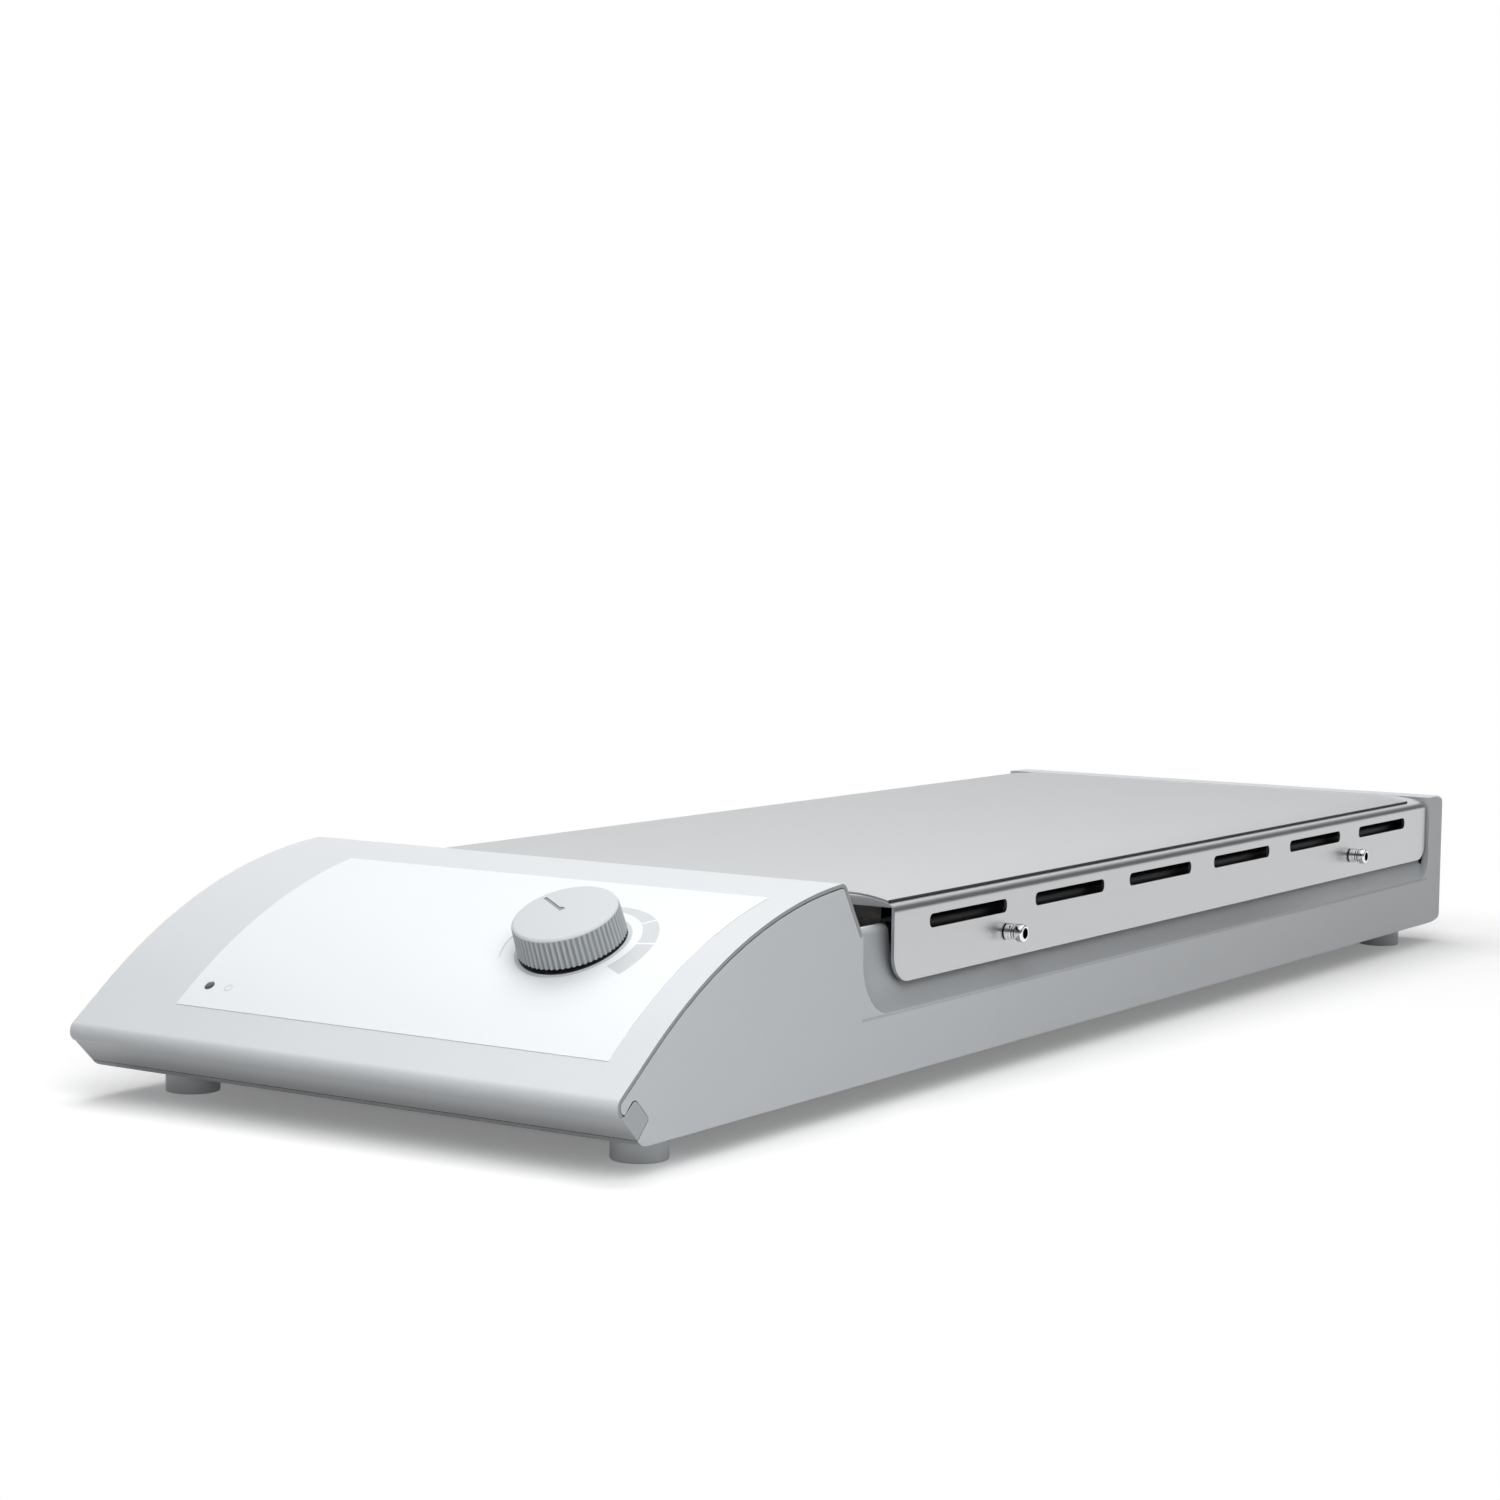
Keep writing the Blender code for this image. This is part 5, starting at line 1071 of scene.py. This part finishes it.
def build_plate():
    """The stainless tray, upside down, with a row of slots in each flange."""
    low, far = plate_low.z, cutter_reach
    inner, reach = plate_high.x - plate_thickness, plate_high.x + far
    lip_low = plate_high.z - plate_lip
    plate = plate_body("plate_sheet", 0.0, low, plate_low.y, plate_high.y)
    tools = [plate_body("plate_hollow", plate_thickness, low - far, plate_low.y + plate_thickness,
                        plate_high.y - plate_thickness)]
    for end, way in ((plate_low.y, 1), (plate_high.y, -1)):
        outside = end - way * far
        tools.append(prism("lip_cutter", [(-inner, low - far), (inner, low - far), (inner, lip_low),
                                          (-inner, lip_low)],
                           *sorted((outside, end + way * 2 * plate_thickness)), "Y"))
        centre = (end + way * plate_corner, low + plate_corner)
        corner = arc(centre, plate_corner, -math.pi / 2, -math.pi / 2 - way * math.pi / 2)
        tools.append(prism("corner_cutter", corner + [(outside, centre[1]), (outside, low - far),
                                                      (centre[0], low - far)], -reach, reach, "X"))
    for y in stud_places:
        across = Matrix.Translation((0, y, stud_level)) @ Matrix.Rotation(math.pi / 2, 4, "Y")
        tools.append(drill("stud_cutter", stud_hole_radius, -reach, reach, across))
    combine(plate, "DIFFERENCE", tools)
    apply_tree(plate, make_slot_row(), slots=slot_count,
               first=(0.0, plate_low.y + slot_first + slot_length / 2, slot_level), pitch=slot_pitch,
               length=slot_length, height=slot_height, corner=slot_corner, reach=overall_width + far,
               finish=finishes["plate_stainless"])
    complete(plate, "work_plate", plate_rounding)
    remove(*tools)


def raised(points, rise, centre):
    """Points moved out from a centre by a rise."""
    moved = []
    for x, height in points:
        away = Vector((x - centre[0], height - centre[1])).normalized() * rise
        moved.append((x + away.x, height + away.y))
    return moved


def build_film():
    """The silicone film on the crowned top, with a black bead along each long edge as painted shade."""
    low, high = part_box("silicone_film")
    crown, bend = plate_half_section(0.0)
    centre = (crown[0][0], plate_high.z - crown_radius)
    crown = arc(centre, crown_radius, math.pi / 2, math.pi / 2 - film_edge_angle)
    under = raised(crown, touching_gap, centre)
    over = raised(crown, touching_gap + film_thickness, centre)
    outline = over + under[::-1] + mirrored(under[::-1]) + mirrored(over)
    film = prism("film_sheet", outline, low.y, high.y, "Y", finishes["plate_silicone"])
    complete(film, "silicone_film", film_rounding, segments=3)
    edge = Vector(crown[-1])
    out = (edge - Vector(centre)).normalized()
    along = Vector((out.y, -out.x))
    half = bead_width / 2
    section = filleted([(-half, -seat_gap, 0), (-half, bead_height, bead_round),
                        (half, bead_height, bead_round), (half, -seat_gap, 0)])
    for name, side in (("right", 1), ("left", -1)):
        spots = [edge + along * u + out * (v + seat_gap) for u, v in section]
        bead = prism(f"film_bead_{name}", [(side * spot.x, spot.y) for spot in spots], low.y, high.y, "Y",
                     finishes["shade_bead"])
        settle(bead)
        add_piece(bead, "housing")


def build_studs():
    """Turned studs with ring grooves and a hexagon socket."""
    for side_name, side in (("left", -1), ("right", 1)):
        for end_name, y in zip(("front", "rear"), stud_places):
            node = f"plate_stud_{end_name}_{side_name}"
            outer = max(abs(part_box(node)[0].x), abs(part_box(node)[1].x)) - plate_high.x
            profile = filleted(stud_profile + [(stud_head_radius, outer, stud_head_edge), (0, outer, 0)], 4)
            placement = (Matrix.Translation((side * plate_high.x, y, stud_level))
                         @ Matrix.Rotation(math.pi / 2 * side, 4, "Y"))
            stud = turned(f"flange_stud_{end_name}_{side_name}", profile, finishes["polished_chrome"],
                          placement, 64)
            socket = drill("socket_cutter", stud_socket_radius, outer - stud_socket_depth,
                           outer + stud_socket_depth / 2, placement, 6)
            complete(stud, node, tools=(socket,))


def build_feet():
    """Round feet with softened edges, hollow where their screws sit."""
    for end_name in ("front", "rear"):
        for side_name in ("left", "right"):
            node = f"foot_{end_name}_{side_name}"
            low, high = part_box(node)
            radius = (high.x - low.x) / 2
            profile = filleted([
                (foot_bore_radius, high.z, 0), (foot_bore_radius, foot_hollow_height, 0.0001),
                (foot_hollow_radius, foot_hollow_height, 0.0003), (foot_hollow_radius, 0, 0.0003),
                (radius, 0, 0.0004), (radius, high.z, 0.0002), (foot_bore_radius, high.z, 0)])[:-1]
            middle = Matrix.Translation(((low.x + high.x) / 2, (low.y + high.y) / 2, 0))
            foot = turned(f"rubber_foot_{end_name}_{side_name}", profile, finishes["foot_rubber"], middle)
            complete(foot, node)


def build_lamp():
    """The light pipe with a domed end."""
    low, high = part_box("power_lamp")
    top = overlay_top + lamp_rise
    bottom = top - (high.z - low.z) / math.cos(console_spot(lamp_run)[2]) + lamp_radius
    collar_radius, collar_low, collar_high = lamp_collar
    profile = filleted([(0, bottom, 0), (lamp_radius, bottom, 0.0001), (lamp_radius, collar_low, 0),
                        (collar_radius, collar_low, 0.0001), (collar_radius, collar_high, 0.0001),
                        (lamp_radius, collar_high, 0), (lamp_radius, top, 0.0006), (0, top, 0)])
    complete(turned("lamp_lens", profile, finishes["lamp_plastic"], lamp_placement, 48), "power_lamp")


def finished_copy(node, width):
    """A welded copy of a CAD node, with its flat faces joined up and its edges rounded."""
    shape = bmesh.new()
    shape.from_mesh(frame["nodes"][node].data)
    bmesh.ops.remove_doubles(shape, verts=shape.verts[:], dist=weld_distance)
    bmesh.ops.dissolve_limit(shape, angle_limit=flat_angle, verts=shape.verts[:], edges=shape.edges[:],
                             delimit={"SHARP"})
    complete(new_item(f"{node}_finished", shape, finishes[slot_of[node]]), node, width)


# Stage

def build_floor():
    """A pale floor that fades to white round the stirrer."""
    shape = bmesh.new()
    bmesh.ops.create_grid(shape, x_segments=1, y_segments=1, size=floor_size)
    floor = new_item("studio_floor", shape)
    made = bpy.data.materials.new("studio_floor")
    made.use_nodes = True
    tree = made.node_tree
    tree.nodes.clear()
    x, y, z = parts(place(tree, "ShaderNodeTexCoord").outputs["Object"])
    beyond = [larger(abs(value) - half, 0.0) for value, half in ((x, half_width), (y, overall_length / 2))]
    fade = ramp(distance(*beyond), 0.0, shadow_reach)
    rays = place(tree, "ShaderNodeLightPath").outputs
    seen = larger(larger(Value(rays["Is Camera Ray"]), rays["Is Glossy Ray"]), rays["Is Transmission Ray"])
    shade = calc("MULTIPLY_ADD", seen, seen_shade - bounce_shade, bounce_shade)
    tone = place(tree, "ShaderNodeCombineColor", {"Red": shade, "Green": shade, "Blue": shade})
    base = place(tree, "ShaderNodeBsdfDiffuse", {"Color": tone})
    lift = place(tree, "ShaderNodeEmission", {"Color": (1, 1, 1, 1), "Strength": seen * lift_strength})
    near = place(tree, "ShaderNodeAddShader", {0: base, 1: lift})
    white = place(tree, "ShaderNodeEmission", {"Color": (1, 1, 1, 1), "Strength": 1.0})
    mixed = place(tree, "ShaderNodeMixShader", {0: fade * seen, 1: near, 2: white})
    place(tree, "ShaderNodeOutputMaterial", {"Surface": mixed})
    floor.data.materials.append(made)


def build_world():
    """Soft white light from all round, with two dark cards for the mirror images."""
    world = bpy.data.worlds.new("studio")
    world.use_nodes = True
    bpy.context.scene.world = world
    tree = world.node_tree
    tree.nodes.clear()
    rays = place(tree, "ShaderNodeLightPath").outputs
    across, depth, rise = parts(place(tree, "ShaderNodeTexCoord").outputs["Generated"])

    def card(sideways, low, high):
        """A dark card on one side, between two pairs of levels."""
        return ramp(rise, *low) * (1.0 - ramp(rise, *high)) * sideways

    cards = larger(card(ramp(across, -0.05, 0.20), (0.01, 0.10), (0.50, 0.62)),
                   card(ramp(depth, -0.05, -0.2), (0.30, 0.40), (0.66, 0.76)))
    mirrored_tone = calc("MULTIPLY_ADD", cards, -0.85, 1.0)
    seen = larger(Value(rays["Is Camera Ray"]), rays["Is Transmission Ray"])
    strength = calc("MULTIPLY_ADD", seen, 1.0 - ambient_level, ambient_level)
    strength = calc("MULTIPLY_ADD", rays["Is Glossy Ray"], mirrored_tone - ambient_level, strength)
    light = place(tree, "ShaderNodeBackground", {"Color": (1, 1, 1, 1), "Strength": strength})
    place(tree, "ShaderNodeOutputWorld", {"Surface": light})


def aimed(name, data, spot, rotation):
    """A lamp or camera at a spot."""
    item = bpy.data.objects.new(name, data)
    item.location = spot
    item.rotation_mode = "QUATERNION"
    item.rotation_quaternion = rotation
    bpy.context.scene.collection.objects.link(item)
    return item


def build_lights():
    """Square lamps that leave no mirror images."""
    for name, (spot, aim, size, power) in lamps.items():
        data = bpy.data.lights.new(name, "AREA")
        data.shape = "SQUARE"
        data.size = size
        data.energy = power
        aimed(name, data, spot, (Vector(spot) - Vector(aim)).to_track_quat("Z", "Y")).visible_glossy = False


def build_camera():
    """The camera that was fitted to the photo."""
    lens = bpy.data.cameras.new("studio_camera")
    lens.lens = camera_lens
    lens.sensor_width = camera_sensor
    lens.clip_start, lens.clip_end = camera_clip
    level = (camera_aim - camera_place).to_track_quat("-Z", "Y")
    roll = Matrix.Rotation(camera_roll, 3, "Z").to_quaternion()
    bpy.context.scene.camera = aimed("studio_camera", lens, camera_place, level @ roll)
    bpy.context.scene.view_settings.view_transform = "Standard"


build_floor()
build_world()
build_lights()
build_camera()
build_cover()
build_sill()
build_overlay()
build_prints()
build_knob()
build_plate()
build_film()
build_studs()
build_feet()
build_lamp()
for node, width in edge_widths.items():
    finished_copy(node, width)
